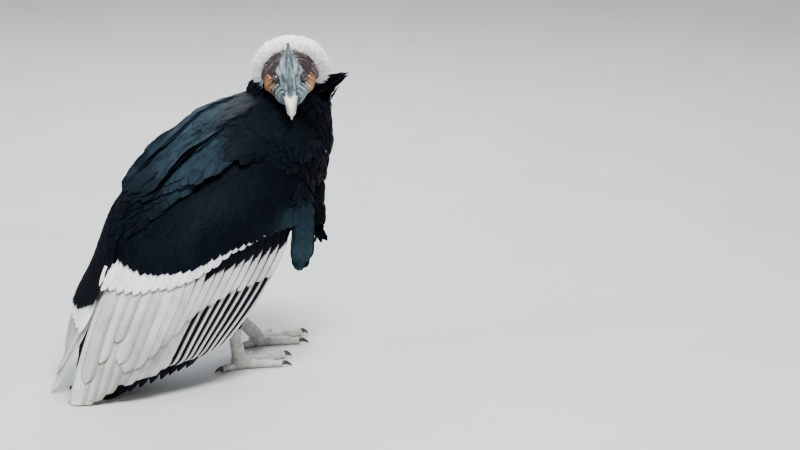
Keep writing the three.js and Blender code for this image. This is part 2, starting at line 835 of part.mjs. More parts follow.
const SIDES = [
  { name: "right", sign: -1 },
  { name: "left", sign: 1 },
];
for (const { name, sign } of SIDES) {
  const wing = buildWing(sign).subtract(solid(handLobe(sign, GAP)));
  node(`wing_${name}`, wing, COLOURS.cream, 0.6, bird);
  node(`hand_${name}`, buildHand(sign), COLOURS.black, 0.6, bird);
}

for (const leg of LEGS) {
  const base = new THREE.Group();
  base.position.set(leg.foot[0], leg.foot[1], 0);
  const home = new THREE.Matrix4().makeTranslation(-leg.foot[0], -leg.foot[1], 0);
  const thigh = solid(moved(thighShape(leg), home)).subtract(solid(moved(trunkGrown, home)));
  node(`thigh_${leg.name}`, thigh, COLOURS.black, 0.8, base);
  node(`foot_${leg.name}`, buildFoot(leg, home), COLOURS.leg, 0.7, base);
  TOES.forEach((toe, i) => {
    node(`claw_${leg.name}_${i + 1}`, solid(clawShape(toe)), COLOURS.claw, 0.4, base);
  });
  bird.add(base);
}

const head = new THREE.Group();
head.position.set(...HEAD_AT);
head.rotation.order = "ZXY";
const rad = THREE.MathUtils.degToRad;
head.rotation.set(rad(HEAD_BEND), rad(HEAD_ROLL), rad(HEAD_TURN));
head.updateMatrix();
bird.add(head);
const toHead = head.matrix.clone().invert();
const neckHere = solid(moved(neckShape(GAP), toHead));
const trunkHere = solid(moved(trunkGrown, toHead));

let face = solid(skullShape());
for (const side of [-1, 1]) {
  face = join(face, SKIN_ROLLS.map((roll) => skinRoll(side, roll.points, roll.thick)));
}
face = face.subtract(solid(upperBill(GAP))).subtract(solid(lowerBill(GAP)));
face = join(face, [lidRing(-1), lidRing(1)]).subtract(solid(combShape(GAP)));
for (const { sign } of SIDES) {
  face = face.subtract(solid(eyeShape(sign, GAP))).subtract(solid(mouthLine(sign)));
}
node("head", face.subtract(neckHere), COLOURS.skin, 0.6, head);
const horn = solid(upperBill()).subtract(solid(combShape(GAP))).subtract(solid(nostril()));
node("bill_upper", horn, COLOURS.bill, 0.4, head);
node("bill_lower", solid(lowerBill()).subtract(solid(upperBill(GAP))), COLOURS.bill, 0.4, head);
node("comb", solid(combShape()), COLOURS.comb, 0.6, head);
for (const { name, sign } of SIDES) {
  node(`eye_${name}`, solid(eyeShape(sign)), COLOURS.eye, 0.1, head);
}

const locks = [];
for (const row of RUFF_ROWS) {
  for (let k = 0; k < row.locks; k += 1) locks.push(ruffLock(row, k));
}
let ruff = join(solid(ruffCore()), locks).subtract(solid(skullShape(GAP)));
for (const side of [-1, 1]) {
  for (const roll of SKIN_ROLLS) {
    ruff = ruff.subtract(solid(skinRoll(side, roll.points, roll.thick + 2 * GAP)));
  }
}
for (const tuft of NECK_TUFTS) {
  ruff = ruff.subtract(solid(moved(neckTuft(tuft, GAP), toHead)));
}
ruff = ruff.subtract(neckHere).subtract(trunkHere);
node("ruff", ruff, COLOURS.ruff, 0.95, head);

export default group;
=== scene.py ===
"""Andean condor: one skin, dressed in separate feathers, on a plain pale floor.

Lengths are millimetres in the bird's own frame, where it faces -Y and its middle plane is
x = 0. Mesh.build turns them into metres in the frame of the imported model.
"""
import math

import bpy
import numpy as np
from mathutils import Matrix, Vector


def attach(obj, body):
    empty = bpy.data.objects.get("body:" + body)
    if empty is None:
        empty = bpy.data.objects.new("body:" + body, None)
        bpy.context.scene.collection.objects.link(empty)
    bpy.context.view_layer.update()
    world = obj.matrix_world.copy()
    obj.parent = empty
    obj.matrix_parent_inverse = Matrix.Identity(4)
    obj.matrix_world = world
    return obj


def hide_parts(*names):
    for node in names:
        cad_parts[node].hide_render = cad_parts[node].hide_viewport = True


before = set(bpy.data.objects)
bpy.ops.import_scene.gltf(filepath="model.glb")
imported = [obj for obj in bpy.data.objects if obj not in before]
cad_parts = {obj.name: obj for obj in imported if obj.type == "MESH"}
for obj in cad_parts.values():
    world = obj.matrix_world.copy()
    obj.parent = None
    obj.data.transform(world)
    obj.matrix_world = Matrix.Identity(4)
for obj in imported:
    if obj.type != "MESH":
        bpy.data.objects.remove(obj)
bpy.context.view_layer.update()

MM = 0.001
ORIGIN_SHIFT = 56.0  # the frame's origin is under the right foot, this far from the middle
FLOOR_GAP = 1.2  # how far the lowest feathers stay above the floor
VANE_THICK = 0.9  # of a small feather at its shaft
BAKE_EDGE = 0.02  # margin round a skin's bake map
BAKE_PATCH = 0.003  # width of one feather's patch in its coat's bake map
rng = np.random.default_rng(20240607)

# Stations of the trunk, neck and breast, out to the plumage: x, y, z, half width, half depth
TRUNK = [
    (0, 182, 192, 34, 20),
    (0, 160, 208, 58, 42),
    (0, 118, 234, 86, 70),
    (0, 58, 282, 112, 100),
    (0, -12, 342, 132, 134),
    (0, -84, 390, 138, 136),
    (0, -138, 424, 122, 120),
    (0, -165, 458, 100, 100),
]
NECK = [
    (0, -150, 418, 108, 108),
    (-3, -170, 462, 97, 99),
    (-12, -174, 506, 80, 82),
    (-24, -158, 548, 68, 66),
    (-35, -149, 578, 54, 52),
    (-46, -144, 598, 39, 38),
]
BREAST_TUFT = [
    (-16, -150, 404, 72, 66),
    (-42, -180, 346, 46, 44),
    (-56, -200, 294, 24, 24),
    (-60, -207, 252, 3, 3),
]
HEAD_AT = np.array([-70.0, -125.0, 578.0])
HEAD_TURN = -129
HEAD_BEND = 25
HEAD_ROLL = -3

# Wing surface of one side, as in the solids: distance out from the midline, y and z
WING_ROWS = np.array(
    [
        [[146, -75, 378], [124, 20, 424], [80, 110, 412], [20, 188, 376]],
        [[156, -62, 325], [150, 64, 352], [112, 172, 344], [16, 242, 322]],
        [[152, -38, 262], [150, 92, 264], [124, 234, 224], [16, 300, 214]],
        [[150, 40, 160], [150, 165, 162], [126, 290, 128], [26, 358, 108]],
        [[141, 133, 72], [138, 228, 60], [112, 330, 34], [52, 410, 12]],
    ],
    dtype=float,
)
# The surface runs on past the wing's own 0 to 1, both across it (s) and down it (t)
WING_FROM = -0.25
WING_TO = 1.15
LEFT_DRAWN = 26  # the left wing's tip is drawn this far forward
LEFT_RAISED = 22  # and this far up
ARM_END = 0.46
ARM_THICK = 32
ARM_EDGE = 13

TAIL_LINE = [(0, 150, 214), (0, 196, 168), (0, 232, 108), (0, 262, 46), (0, 300, 10), (0, 345, 0)]
LEGS = [
    {"name": "right", "foot": (-56, 0), "ankle": (-56, 16, 112), "knee": (-62, -4, 236)},
    {"name": "left", "foot": (52, -138), "ankle": (54, -66, 104), "knee": (60, -22, 232)},
]
TARSUS_RADIUS = 13
TOES = [
    {"turn": 0, "length": 114, "radius": 11.5, "claw": 29},
    {"turn": 32, "length": 82, "radius": 10, "claw": 26},
    {"turn": -32, "length": 86, "radius": 10, "claw": 26},
    {"turn": 176, "length": 42, "radius": 9, "claw": 22},
]

# Colours, linear
BLACK = np.array([0.0018, 0.0026, 0.0048])
# painted sky sheen: the slate blue given to black feathers that face up
SLATE_SKY_SHEEN = np.array([0.0155, 0.0305, 0.043])
# painted sky sheen: the teal given to black feathers at the wrist
TEAL_SKY_SHEEN = np.array([0.023, 0.047, 0.067])
WHITE = np.array([0.84, 0.84, 0.835])
CREAM = np.array([0.53, 0.545, 0.53])


def mix(a, b, f):
    return a + (b - a) * f


def unit(a):
    return a / np.maximum(np.linalg.norm(a, axis=-1, keepdims=True), 1e-9)


def step(a, b, x):
    """A smooth rise from 0 at a to 1 at b."""
    f = np.clip((x - a) / (b - a), 0, 1)
    return f * f * (3 - 2 * f)


def curve(points, f):
    """A centripetal curve through the points, at each f from 0 to 1."""
    points = np.asarray(points, float)
    f = np.clip(np.asarray(f, float), 0, 1)
    count = len(points)
    first = 2 * points[0] - points[1]
    last = 2 * points[-1] - points[-2]
    padded = np.vstack([first, points, last])
    place = f * (count - 1)
    low = np.minimum(place.astype(int), count - 2)
    w = (place - low)[..., None]
    p0, p1, p2, p3 = (padded[low + k] for k in range(4))
    d0, d1, d2 = (
        np.maximum(np.linalg.norm(b - a, axis=-1, keepdims=True) ** 0.5, 1e-4)
        for a, b in ((p0, p1), (p1, p2), (p2, p3))
    )
    t1 = ((p1 - p0) / d0 - (p2 - p0) / (d0 + d1) + (p2 - p1) / d1) * d1
    t2 = ((p2 - p1) / d1 - (p3 - p1) / (d1 + d2) + (p3 - p2) / d2) * d1
    c2 = -3 * p1 + 3 * p2 - 2 * t1 - t2
    c3 = 2 * p1 - 2 * p2 + t1 + t2
    return p1 + t1 * w + c2 * w**2 + c3 * w**3


def run_along(line):
    """How far each point of a line lies from its first, measured along the line."""
    return np.concatenate([[0], np.cumsum(np.linalg.norm(np.diff(line, axis=0), axis=1))])


def run_on(points, f):
    """The curve through the points, carried straight on past both of its ends."""
    inside = curve(points, f)
    ends = np.where((f < 0)[:, None], curve(points, 0.02 + 0 * f), curve(points, 0.98 + 0 * f))
    beyond = np.abs(f - np.clip(f, 0, 1))[:, None] / 0.02
    return inside + (inside - ends) * beyond


class Surface:
    """A smooth surface kept as a grid of points over u and v, both from 0 to 1."""

    def __init__(self, points, flip=1.0):
        self.points = points
        du = np.gradient(points, axis=0)
        dv = np.gradient(points, axis=1)
        self.du = unit(du)
        self.dv = unit(dv)
        self.normal = unit(np.cross(du, dv)) * flip

    def read(self, grid, u, v):
        rows, columns = grid.shape[:2]
        a = np.clip(np.asarray(u, float), 0, 1) * (rows - 1)
        b = np.clip(np.asarray(v, float), 0, 1) * (columns - 1)
        i = np.minimum(a.astype(int), rows - 2)
        j = np.minimum(b.astype(int), columns - 2)
        x = (a - i)[..., None]
        y = (b - j)[..., None]
        near = grid[i, j] * (1 - y) + grid[i, j + 1] * y
        far = grid[i + 1, j] * (1 - y) + grid[i + 1, j + 1] * y
        return near * (1 - x) + far * x

    def at(self, u, v):
        return self.read(self.points, u, v)

    def frame(self, u, v):
        du = unit(self.read(self.du, u, v))
        dv = unit(self.read(self.dv, u, v))
        return du, dv, unit(self.read(self.normal, u, v))


def loft_rings(stations, steps, sides, side=(1, 0, 0), grow=0.0, bulge=None):
    """Rings of a round body along its stations: x, y, z, half width and half depth."""
    data = np.array(stations, float)
    f = np.linspace(0, 1, steps + 1)
    centre = curve(data[:, :3], f)
    ahead = unit(curve(data[:, :3], f + 0.004) - curve(data[:, :3], f - 0.004))
    side = np.asarray(side, float)
    across = unit(side - ahead * (ahead @ side)[:, None])
    up = np.cross(across, ahead)
    place = f * (len(data) - 1)
    low = np.minimum(place.astype(int), len(data) - 2)
    part = place - low
    part = part * part * (3 - 2 * part) * 0.5 + part * 0.5
    wide = mix(data[low, 3], data[low + 1, 3], part) + grow
    deep = mix(data[low, 4], data[low + 1, 4], part) + grow
    angle = np.linspace(0, 2 * np.pi, sides + 1)
    cos, sin = np.cos(angle), np.sin(angle)
    swell = np.ones((steps + 1, sides + 1)) if bulge is None else bulge(f[:, None], angle[None, :])
    reach = across[:, None] * (wide[:, None] * cos * swell)[..., None]
    reach = reach + up[:, None] * (deep[:, None] * sin * swell)[..., None]
    return centre[:, None] + reach


def wing_surface(side):
    """The wing's outer surface, carried on past all of its edges."""
    s = t = np.linspace(WING_FROM, WING_TO, 71)
    rows = np.array([run_on(row, s) for row in WING_ROWS])
    points = np.array([run_on(rows[:, i], t) for i in range(len(s))])
    points[..., 0] *= side
    if side > 0:
        drawn = (t * np.abs(t))[None]
        points[..., 1] -= LEFT_DRAWN * drawn
        points[..., 2] += LEFT_RAISED * drawn
    return Surface(points, flip=-side)


def wing_uv(s, t):
    """Turns places on the wing into places on its surface's grid."""
    return tuple((np.asarray(a) - WING_FROM) / (WING_TO - WING_FROM) for a in (s, t))


WING = {"right": wing_surface(-1), "left": wing_surface(1)}
SIGN = {"right": -1, "left": 1}


def set_uv(data, label, uv):
    data.uv_layers.new(name=label).data.foreach_set("uv", uv.astype(np.float32).ravel())


def set_tint(data, colours):
    """Keeps a colour on each vertex."""
    rgba = np.ones((len(data.vertices), 4), np.float32)
    rgba[:, :3] = colours
    tint = data.color_attributes.new("tint", "FLOAT_COLOR", "POINT")
    tint.data.foreach_set("color", rgba.ravel())


class Mesh:
    """Collects vertices, faces, colours and two UV maps, and builds one object."""

    def __init__(self):
        self.points = []
        self.faces = []
        self.tints = []
        self.bake = []
        self.vane = []
        self.count = 0

    def add(self, points, faces, tint, bake, vane):
        self.points.append(points)
        self.faces.append(faces + self.count)
        self.tints.append(np.broadcast_to(tint, points.shape))
        self.bake.append(bake)
        self.vane.append(vane)
        self.count += len(points)

    def add_grid(self, grid, tint):
        """A grid of rings whose first and last columns are the same line, with its ends closed."""
        rows = grid.shape[0]
        columns = grid.shape[1] - 1
        flat = grid[:, :columns].reshape(-1, 3)
        index = np.arange(rows * columns).reshape(rows, columns)
        right = np.roll(index, -1, axis=1)
        quads = np.stack([index[:-1], right[:-1], right[1:], index[1:]], -1).reshape(-1, 4)
        ends = np.array([grid[0, :columns].mean(0), grid[-1, :columns].mean(0)])
        first = len(flat)
        cap_a = np.stack([index[0], np.full(columns, first), right[0], right[0]], -1)
        cap_b = np.stack([index[-1], right[-1], np.full(columns, first + 1), index[-1]], -1)
        u = np.repeat(np.linspace(0, 1, rows), columns)
        v = np.tile(np.arange(columns) / columns, rows)
        place = np.vstack([np.stack([v, u], -1), [[0.5, 0.0], [0.5, 1.0]]])
        tint = np.asarray(tint, float)
        if tint.ndim == 3:
            tint = tint[:, :columns].reshape(-1, 3)
            tint = np.vstack([tint, tint[:1], tint[-1:]])
        bake = BAKE_EDGE + (1 - 2 * BAKE_EDGE) * place
        self.add(np.vstack([flat, ends]), np.vstack([quads, cap_a, cap_b]), tint, bake, place)

    def build(self, name, material, replaces=(), sharp=None):
        points = np.vstack(self.points)
        points = (points + [ORIGIN_SHIFT, 0, 0]) * MM
        faces = np.vstack(self.faces)
        triangle = (faces[:, 2] == faces[:, 3]) | (faces[:, 0] == faces[:, 3])
        data = bpy.data.meshes.new(name)
        loops = np.concatenate([f[:3] if t else f for f, t in zip(faces, triangle)])
        sizes = np.where(triangle, 3, 4)
        data.vertices.add(len(points))
        data.vertices.foreach_set("co", points.astype(np.float32).ravel())
        data.loops.add(len(loops))
        data.loops.foreach_set("vertex_index", loops.astype(np.int32))
        data.polygons.add(len(faces))
        starts = np.concatenate([[0], np.cumsum(sizes)[:-1]])
        data.polygons.foreach_set("loop_start", starts.astype(np.int32))
        data.update(calc_edges=True)
        for label, values in (("OFBake", self.bake), ("Vane", self.vane)):
            set_uv(data, label, np.vstack(values)[loops])
        data.uv_layers["OFBake"].active = True
        set_tint(data, np.vstack(self.tints))
        data.polygons.foreach_set("use_smooth", np.ones(len(faces), bool))
        if sharp is not None:
            data.set_sharp_from_angle(angle=math.radians(sharp))
        data.validate()
        data.materials.append(material)
        item = bpy.data.objects.new(name, data)
        bpy.context.scene.collection.objects.link(item)
        if replaces:
            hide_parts(*replaces)
        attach(item, "root")
        return item


def build_grid(name, rings, tint, material, slot, *replaces):
    """A piece made of one closed grid."""
    mesh = Mesh()
    mesh.add_grid(rings, tint)
    mesh.build(name, material, replaces)


def add_vanes(mesh, centre, across, up, left, right, thick, cup, colour, root_uv, nu=2):
    """Adds n feathers at once, each a closed blade with a sharp edge all round.

    centre is (n, rows, 3). across and up spread to that; left, right, thick and cup spread to
    (n, rows).
    colour(u, v) gives the tint for arrays (n, rows, columns).
    """
    n, rows = centre.shape[:2]
    across, up = (np.broadcast_to(a, centre.shape) for a in (across, up))
    left, right, thick, cup = (np.broadcast_to(a, (n, rows)) for a in (left, right, thick, cup))
    u = np.linspace(-1, 1, nu + 1)
    v = np.linspace(0, 1, rows)
    half = np.where(u < 0, left[..., None], right[..., None])
    sideways = across[:, :, None] * (half * u)[..., None]
    sunk = (cup[..., None] * np.abs(u) ** 1.6)[..., None] * up[:, :, None]
    shaft = (thick[..., None] * (1 - np.abs(u)))[..., None] * up[:, :, None]
    top = centre[:, :, None] + sideways - sunk + shaft * 0.5
    low = (centre[:, :, None] + sideways - sunk - shaft * 0.5)[:, :, 1:-1]
    per = rows * (nu + 1)
    inner = nu - 1
    block = per + rows * inner
    points = np.concatenate([top.reshape(n, per, 3), low.reshape(n, rows * inner, 3)], 1)
    points = points.reshape(-1, 3)
    points[:, 2] = np.maximum(points[:, 2], FLOOR_GAP)
    a = np.arange(per).reshape(rows, nu + 1)
    b = np.empty((rows, nu + 1), int)
    b[:, 0] = a[:, 0]
    b[:, -1] = a[:, -1]
    b[:, 1:-1] = per + np.arange(rows * inner).reshape(rows, inner)
    upper = np.stack([a[:-1, :-1], a[:-1, 1:], a[1:, 1:], a[1:, :-1]], -1).reshape(-1, 4)
    lower = np.stack([b[:-1, :-1], b[1:, :-1], b[1:, 1:], b[:-1, 1:]], -1).reshape(-1, 4)
    ends = []
    for row, turn in ((0, 1), (rows - 1, -1)):
        for k in range(nu):
            quad = [a[row, k], b[row, k], b[row, k + 1], a[row, k + 1]][::turn]
            if k == 0:
                quad = [a[row, 0], b[row, 1], a[row, 1], a[row, 1]]
                quad = quad if turn == 1 else [quad[0], quad[2], quad[1], quad[1]]
            elif k == nu - 1:
                quad = [a[row, k], b[row, k], a[row, k + 1], a[row, k + 1]]
                quad = quad if turn == 1 else [quad[0], quad[2], quad[1], quad[1]]
            ends.append(quad)
    faces = np.vstack([upper, lower, np.array(ends)])
    handed = np.einsum("ni,ni->n", np.cross(across[:, 0], centre[:, 1] - centre[:, 0]), up[:, 0])
    all_faces = faces[None] + (np.arange(n) * block)[:, None, None]
    turned = all_faces[:, :, ::-1]
    flat = np.where((handed < 0)[:, None, None], turned, all_faces).reshape(-1, 4)
    uu, vv = np.meshgrid(u, v)
    uu = np.broadcast_to(uu, (n, rows, nu + 1))
    vv = np.broadcast_to(vv, (n, rows, nu + 1))
    tint_top = colour(uu, vv)
    tint = np.concatenate(
        [tint_top.reshape(n, per, 3), tint_top[:, :, 1:-1].reshape(n, rows * inner, 3)], 1
    )
    place = np.stack([uu * 0.5 + 0.5, vv], -1)
    place = np.concatenate(
        [place.reshape(n, per, 2), place[:, :, 1:-1].reshape(n, rows * inner, 2)], 1
    )
    bake = root_uv[:, None] * (1 - 2 * BAKE_PATCH) + BAKE_PATCH * place
    mesh.add(points, flat, tint.reshape(-1, 3), bake.reshape(-1, 2), place.reshape(-1, 2))


def oval(v, root=0.35, widest=0.55, tip=0.12):
    """A body feather's half width along its length, as a share of the widest."""
    rise = root + (1 - root) * np.sin(np.clip(v / widest, 0, 1) * np.pi / 2)
    late = np.clip((v - widest) / (1 - widest), 0, 1)
    return rise * np.maximum(tip, np.sqrt(np.maximum(0, 1 - late**2.2)))


def body_feathers(mesh, place, along, normal, length, width, colour, root_uv, rows=5, nu=2,
                  sink=0.22, rise=0.10, curl=0.10, cup=0.22, wild=0.10):
    """Small feathers that lie over a surface: sunk at the root, lifted past the middle, and
    curled back down at the tip. length and width are one for all or an array over them."""
    n = len(place)
    length, width = (np.broadcast_to(a, n)[:, None] for a in (length, width))
    along = unit(along - normal * np.sum(along * normal, -1, keepdims=True))
    side = np.cross(normal, along)
    along = unit(along + side * rng.normal(0, wild, (n, 1)))
    across = np.cross(normal, along)
    roll = rng.normal(0, wild * 0.8, (n, 1))
    up = unit(normal + across * roll)
    across = unit(np.cross(up, along))
    v = np.linspace(0, 1, rows)
    lift = -sink + (sink + rise) * np.sin(np.clip(v * 1.25, 0, 1) * np.pi / 2) - curl * v**3
    lift = lift[None] * (1 + rng.normal(0, 0.25, (n, 1)))
    sway = rng.normal(0, wild * 0.5, (n, 1)) * v**2
    centre = place[:, None] + along[:, None] * (length * (v - 0.15))[..., None]
    centre = centre + normal[:, None] * (lift * length)[..., None]
    centre = centre + across[:, None] * (sway * length)[..., None]
    half = width * oval(v, tip=0.14)
    add_vanes(
        mesh, centre, across[:, None], up[:, None], half, half, VANE_THICK, half * cup, colour,
        root_uv, nu,
    )


UNEVEN = 0.28  # how unevenly scattered places lie, as a share of their spacing


def scatter(surface, spacing, u_range):
    """Staggered places over a surface, about evenly spaced in millimetres."""
    fine = np.linspace(*u_range, 60)
    run = run_along(surface.at(fine, np.full(60, 0.5)))
    rows = max(2, int(run[-1] / spacing))
    us, vs = [], []
    across = np.linspace(0, 1, 80)
    for i in range(rows):
        u = np.interp((i + 0.5) / rows * run[-1], run, fine)
        girth = run_along(surface.at(np.full(80, u), across))
        count = max(3, int(girth[-1] / spacing))
        places = (np.arange(count) + 0.5 * (i % 2) + rng.normal(0, UNEVEN * 0.5, count)) / count
        vs.append(np.interp(np.clip(places, 0, 1) * girth[-1], girth, across))
        us.append(u + rng.normal(0, UNEVEN, count) * (u_range[1] - u_range[0]) / rows)
    return np.clip(np.concatenate(us), 0, 1), np.clip(np.concatenate(vs), 0, 1)


# Materials


class Nodes:
    """A short way to write a node tree."""

    def __init__(self, name):
        self.material = bpy.data.materials.new(name)
        self.material.use_nodes = True
        self.tree = self.material.node_tree
        self.shader = self.tree.nodes["Principled BSDF"]

    def add(self, kind, **values):
        node = self.tree.nodes.new(kind)
        for key, value in values.items():
            if key in node.inputs:
                node.inputs[key].default_value = value
            else:
                setattr(node, key, value)
        return node

    def link(self, a, b):
        self.tree.links.new(a, b)

    def math(self, operation, a, b=0.0):
        node = self.add("ShaderNodeMath", operation=operation)
        for i, value in enumerate((a, b)):
            if isinstance(value, (int, float)):
                node.inputs[i].default_value = value
            else:
                self.link(value, node.inputs[i])
        return node.outputs[0]

    def blend(self, mode, factor, a, b):
        node = self.add("ShaderNodeMix", data_type="RGBA", blend_type=mode)
        for i, value in ((0, factor), (6, a), (7, b)):
            if isinstance(value, (int, float, tuple)):
                node.inputs[i].default_value = value
            else:
                self.link(value, node.inputs[i])
        return node.outputs[2]

    def ramp(self, value, *stops):
        node = self.add("ShaderNodeValToRGB")
        elements = node.color_ramp.elements
        while len(elements) < len(stops):
            elements.new(0.5)
        for element, (place, shade) in zip(elements, stops):
            element.position = place
            colour = (shade, shade, shade, 1) if isinstance(shade, (int, float)) else (*shade, 1)
            element.color = colour
        self.link(value, node.inputs[0])
        return node.outputs[0]

    def noise(self, scale, detail, place, roughness=0.55):
        node = self.add("ShaderNodeTexNoise", Scale=scale, Detail=detail, Roughness=roughness)
        self.link(place, node.inputs["Vector"])
        return node.outputs["Fac"]

    def bump(self, height, strength, distance):
        node = self.add("ShaderNodeBump", Strength=strength, Distance=distance)
        self.link(height, node.inputs["Height"])
        self.link(node.outputs[0], self.shader.inputs["Normal"])

    def place(self):
        return self.add("ShaderNodeTexCoord").outputs["Object"]

    def tint(self):
        """The colour kept on the vertices."""
        return self.add("ShaderNodeAttribute", attribute_name="tint").outputs["Color"]

    def finish(self, colour, values):
        """Joins the colour to the shader and sets its plain values."""
        self.link(colour, self.shader.inputs["Base Color"])
        for key, value in values.items():
            self.shader.inputs[key].default_value = value
        return self.material


BARB_ROWS = 46.0  # barbs along a vane
BARB_SLANT = 16.0  # how much they slant towards the tip


def feather_material(name, shine, barb):
    """Barbs run out from the shaft to both edges, over the colour kept on the vanes."""
    n = Nodes(name)
    split = n.add("ShaderNodeSeparateXYZ")
    n.link(n.add("ShaderNodeUVMap", uv_map="Vane").outputs[0], split.inputs[0])
    across = n.math("ABSOLUTE", n.math("SUBTRACT", split.outputs[0], 0.5))
    along = n.math("MULTIPLY", split.outputs[1], BARB_ROWS)
    slant = n.math("SUBTRACT", along, n.math("MULTIPLY", across, BARB_SLANT))
    wobble = n.noise(70.0, 2.0, n.place())
    turns = n.math("ADD", slant, n.math("MULTIPLY", wobble, 2.5))
    wave = n.math("SINE", n.math("MULTIPLY", turns, 6.283))
    barbs = n.math("ADD", n.math("MULTIPLY", wave, 0.5), 0.5)
    shaft = n.ramp(across, (0.0, 1.0), (0.035, 0.0))
    shade = n.ramp(n.noise(22.0, 4.0, n.place()), (0.3, 0.78), (0.7, 1.18))
    body = n.blend("MULTIPLY", 1.0, n.tint(), shade)
    body = n.blend("MULTIPLY", barb, body, n.ramp(barbs, (0.0, 0.45), (0.6, 1.0)))
    body = n.blend("MULTIPLY", n.math("MULTIPLY", shaft, 0.35), body, (0.35, 0.33, 0.32, 1))
    height = n.math("ADD", n.math("MULTIPLY", barbs, 0.5), n.math("MULTIPLY", shaft, 1.2))
    n.bump(height, 0.35, 0.0006)
    return n.finish(body, {
        "Roughness": 0.55,
        "Specular IOR Level": shine,
        "Specular Tint": (0.7, 0.85, 1.0, 1),
    })


def skin_material(name, rough, fine, creases, coat=0.0, subsurface=0.0, cells=0.0, shine=0.5):
    """Bare skin or horn: the colour kept on the vertices, broken up and creased."""
    n = Nodes(name)
    place = n.place()
    patches = n.noise(fine * 0.25, 5.0, place)
    body = n.blend("MULTIPLY", 1.0, n.tint(), n.ramp(patches, (0.3, 0.72), (0.7, 1.2)))
    detail = n.noise(fine, 6.0, place, 0.65)
    body = n.blend("MULTIPLY", 0.6, body, n.ramp(detail, (0.35, 0.6), (0.6, 1.1)))
    height = detail
    if cells:
        cell = n.add("ShaderNodeTexVoronoi", Scale=cells, feature="DISTANCE_TO_EDGE")
        n.link(place, cell.inputs["Vector"])
        edges = n.ramp(cell.outputs["Distance"], (0.0, 0.0), (0.12, 1.0))
        height = n.math("ADD", n.math("MULTIPLY", detail, 0.3), edges)
    n.bump(height, creases, 0.0008)
    return n.finish(body, {
        "Roughness": rough,
        "Specular IOR Level": shine,
        "Coat Weight": coat,
        "Coat Roughness": 0.25,
        "Subsurface Weight": subsurface,
        "Subsurface Radius": (0.006, 0.003, 0.002),
    })


def down_material(name):
    """White down, which lets some light through."""
    n = Nodes(name)
    patches = n.noise(45.0, 3.0, n.place())
    body = n.blend("MULTIPLY", 1.0, n.tint(), n.ramp(patches, (0.3, 0.95), (0.7, 1.0)))
    return n.finish(body, {
        "Roughness": 0.95,
        "Specular IOR Level": 0.05,
        "Subsurface Weight": 0.5,
        "Subsurface Radius": (0.012, 0.012, 0.012),
    })


BODY_FEATHER = feather_material("soft_black_feather", 0.03, 0.35)
WING_FEATHER = feather_material("wing_feather", 0.06, 0.2)
RUFF_DOWN = down_material("ruff_down")
FACE_SKIN = skin_material("face_skin", 0.5, 260.0, 0.5, coat=0.12, subsurface=0.08)
COMB_SKIN = skin_material("comb_skin", 0.5, 200.0, 0.5, coat=0.1, subsurface=0.05)
BILL_HORN = skin_material("bill_horn", 0.32, 120.0, 0.15, coat=0.3)
LEG_SKIN = skin_material("leg_skin", 0.6, 300.0, 0.45, cells=260.0)
CLAW_HORN = skin_material("claw_horn", 0.3, 150.0, 0.2, coat=0.3)
DARK_SKIN = skin_material("feathered_skin", 0.8, 120.0, 0.3, shine=0.03)


# Body surfaces, out to the plumage, and the skin inside them

COAT_DEPTH = 9.0

# Lines across each wing, read at s from the wrist to the midline
LINE_S = [0.0, 0.1, 0.2, 0.3, 0.45, 0.6, 0.75, 0.85, 0.93, 1.0]
BAND_TOP = [0.27, 0.345, 0.40, 0.43, 0.462, 0.468, 0.462, 0.46, 0.43, 0.39]
BAND_END = [0.325, 0.385, 0.435, 0.47, 0.515, 0.51, 0.515, 0.525, 0.53, 0.52]
WHITE_START = [0.46, 0.49, 0.51, 0.53, 0.53, 0.42, 0.3, 0.3, 0.3, 0.3]
SECOND_END = [0.63, 0.66, 0.68, 0.70, 0.75, 0.86, 0.93, 0.73, 0.90, 0.97]
# How far down the wing the white marks sit below the right wing's
BAND_SHIFT = {"right": 0.0, "left": 0.22}


def wing_line(values, s):
    return np.interp(s, LINE_S, values)


def thigh_stations(leg):
    knee = np.array(leg["knee"], float)
    ankle = np.array(leg["ankle"], float)
    return [
        (*(knee + [0, 0, 34]), 34, 58),
        (*knee, 44, 66),
        (*mix(knee, ankle, 0.45), 36, 46),
        (*mix(knee, ankle, 0.8), 28, 31),
        (*(ankle - [0, 0, 14]), 20, 21),
    ]


def lobe_stations(side):
    return [
        (side * 146, -86, 392, 5, 8),
        (side * 149, -86, 374, 10, 20),
        (side * 153, -86, 320, 13, 27),
        (side * 152, -86, 262, 12, 27),
        (side * 148, -84, 226, 8, 19),
        (side * 145, -82, 208, 3, 6),
    ]


def loft_surface(stations, steps=48, sides=64):
    rings = loft_rings(stations, steps, sides)
    surface = Surface(rings)
    out = rings[steps // 2, 0] - rings[steps // 2, :-1].mean(0)
    if np.dot(surface.normal[steps // 2, 0], out) < 0:
        surface.normal = -surface.normal
    return surface


def arm_plate(side_name):
    """The fleshy arm under the coverts, as rings round a curved plate."""
    surface = WING[side_name]
    rings = []
    columns = 28
    t = np.linspace(0.01, ARM_END - 0.03, 14)
    for i in range(columns + 1):
        s = mix(0.0, 0.96, i / columns)
        u, v = wing_uv(np.full(14, s), t)
        point = surface.at(u, v)
        normal = surface.frame(u, v)[2]
        taper = mix(0.42, 1, math.sin(math.pi * i / columns) ** 0.5)
        thick = mix(ARM_THICK, ARM_EDGE, (t / ARM_END) ** 1.5) * taper
        outer = point - normal * 6
        inner = point - normal * np.maximum(thick - 4, 8)[:, None]
        ring = np.vstack([outer, inner[::-1], outer[:1]])
        rings.append(ring)
    return np.array(rings)


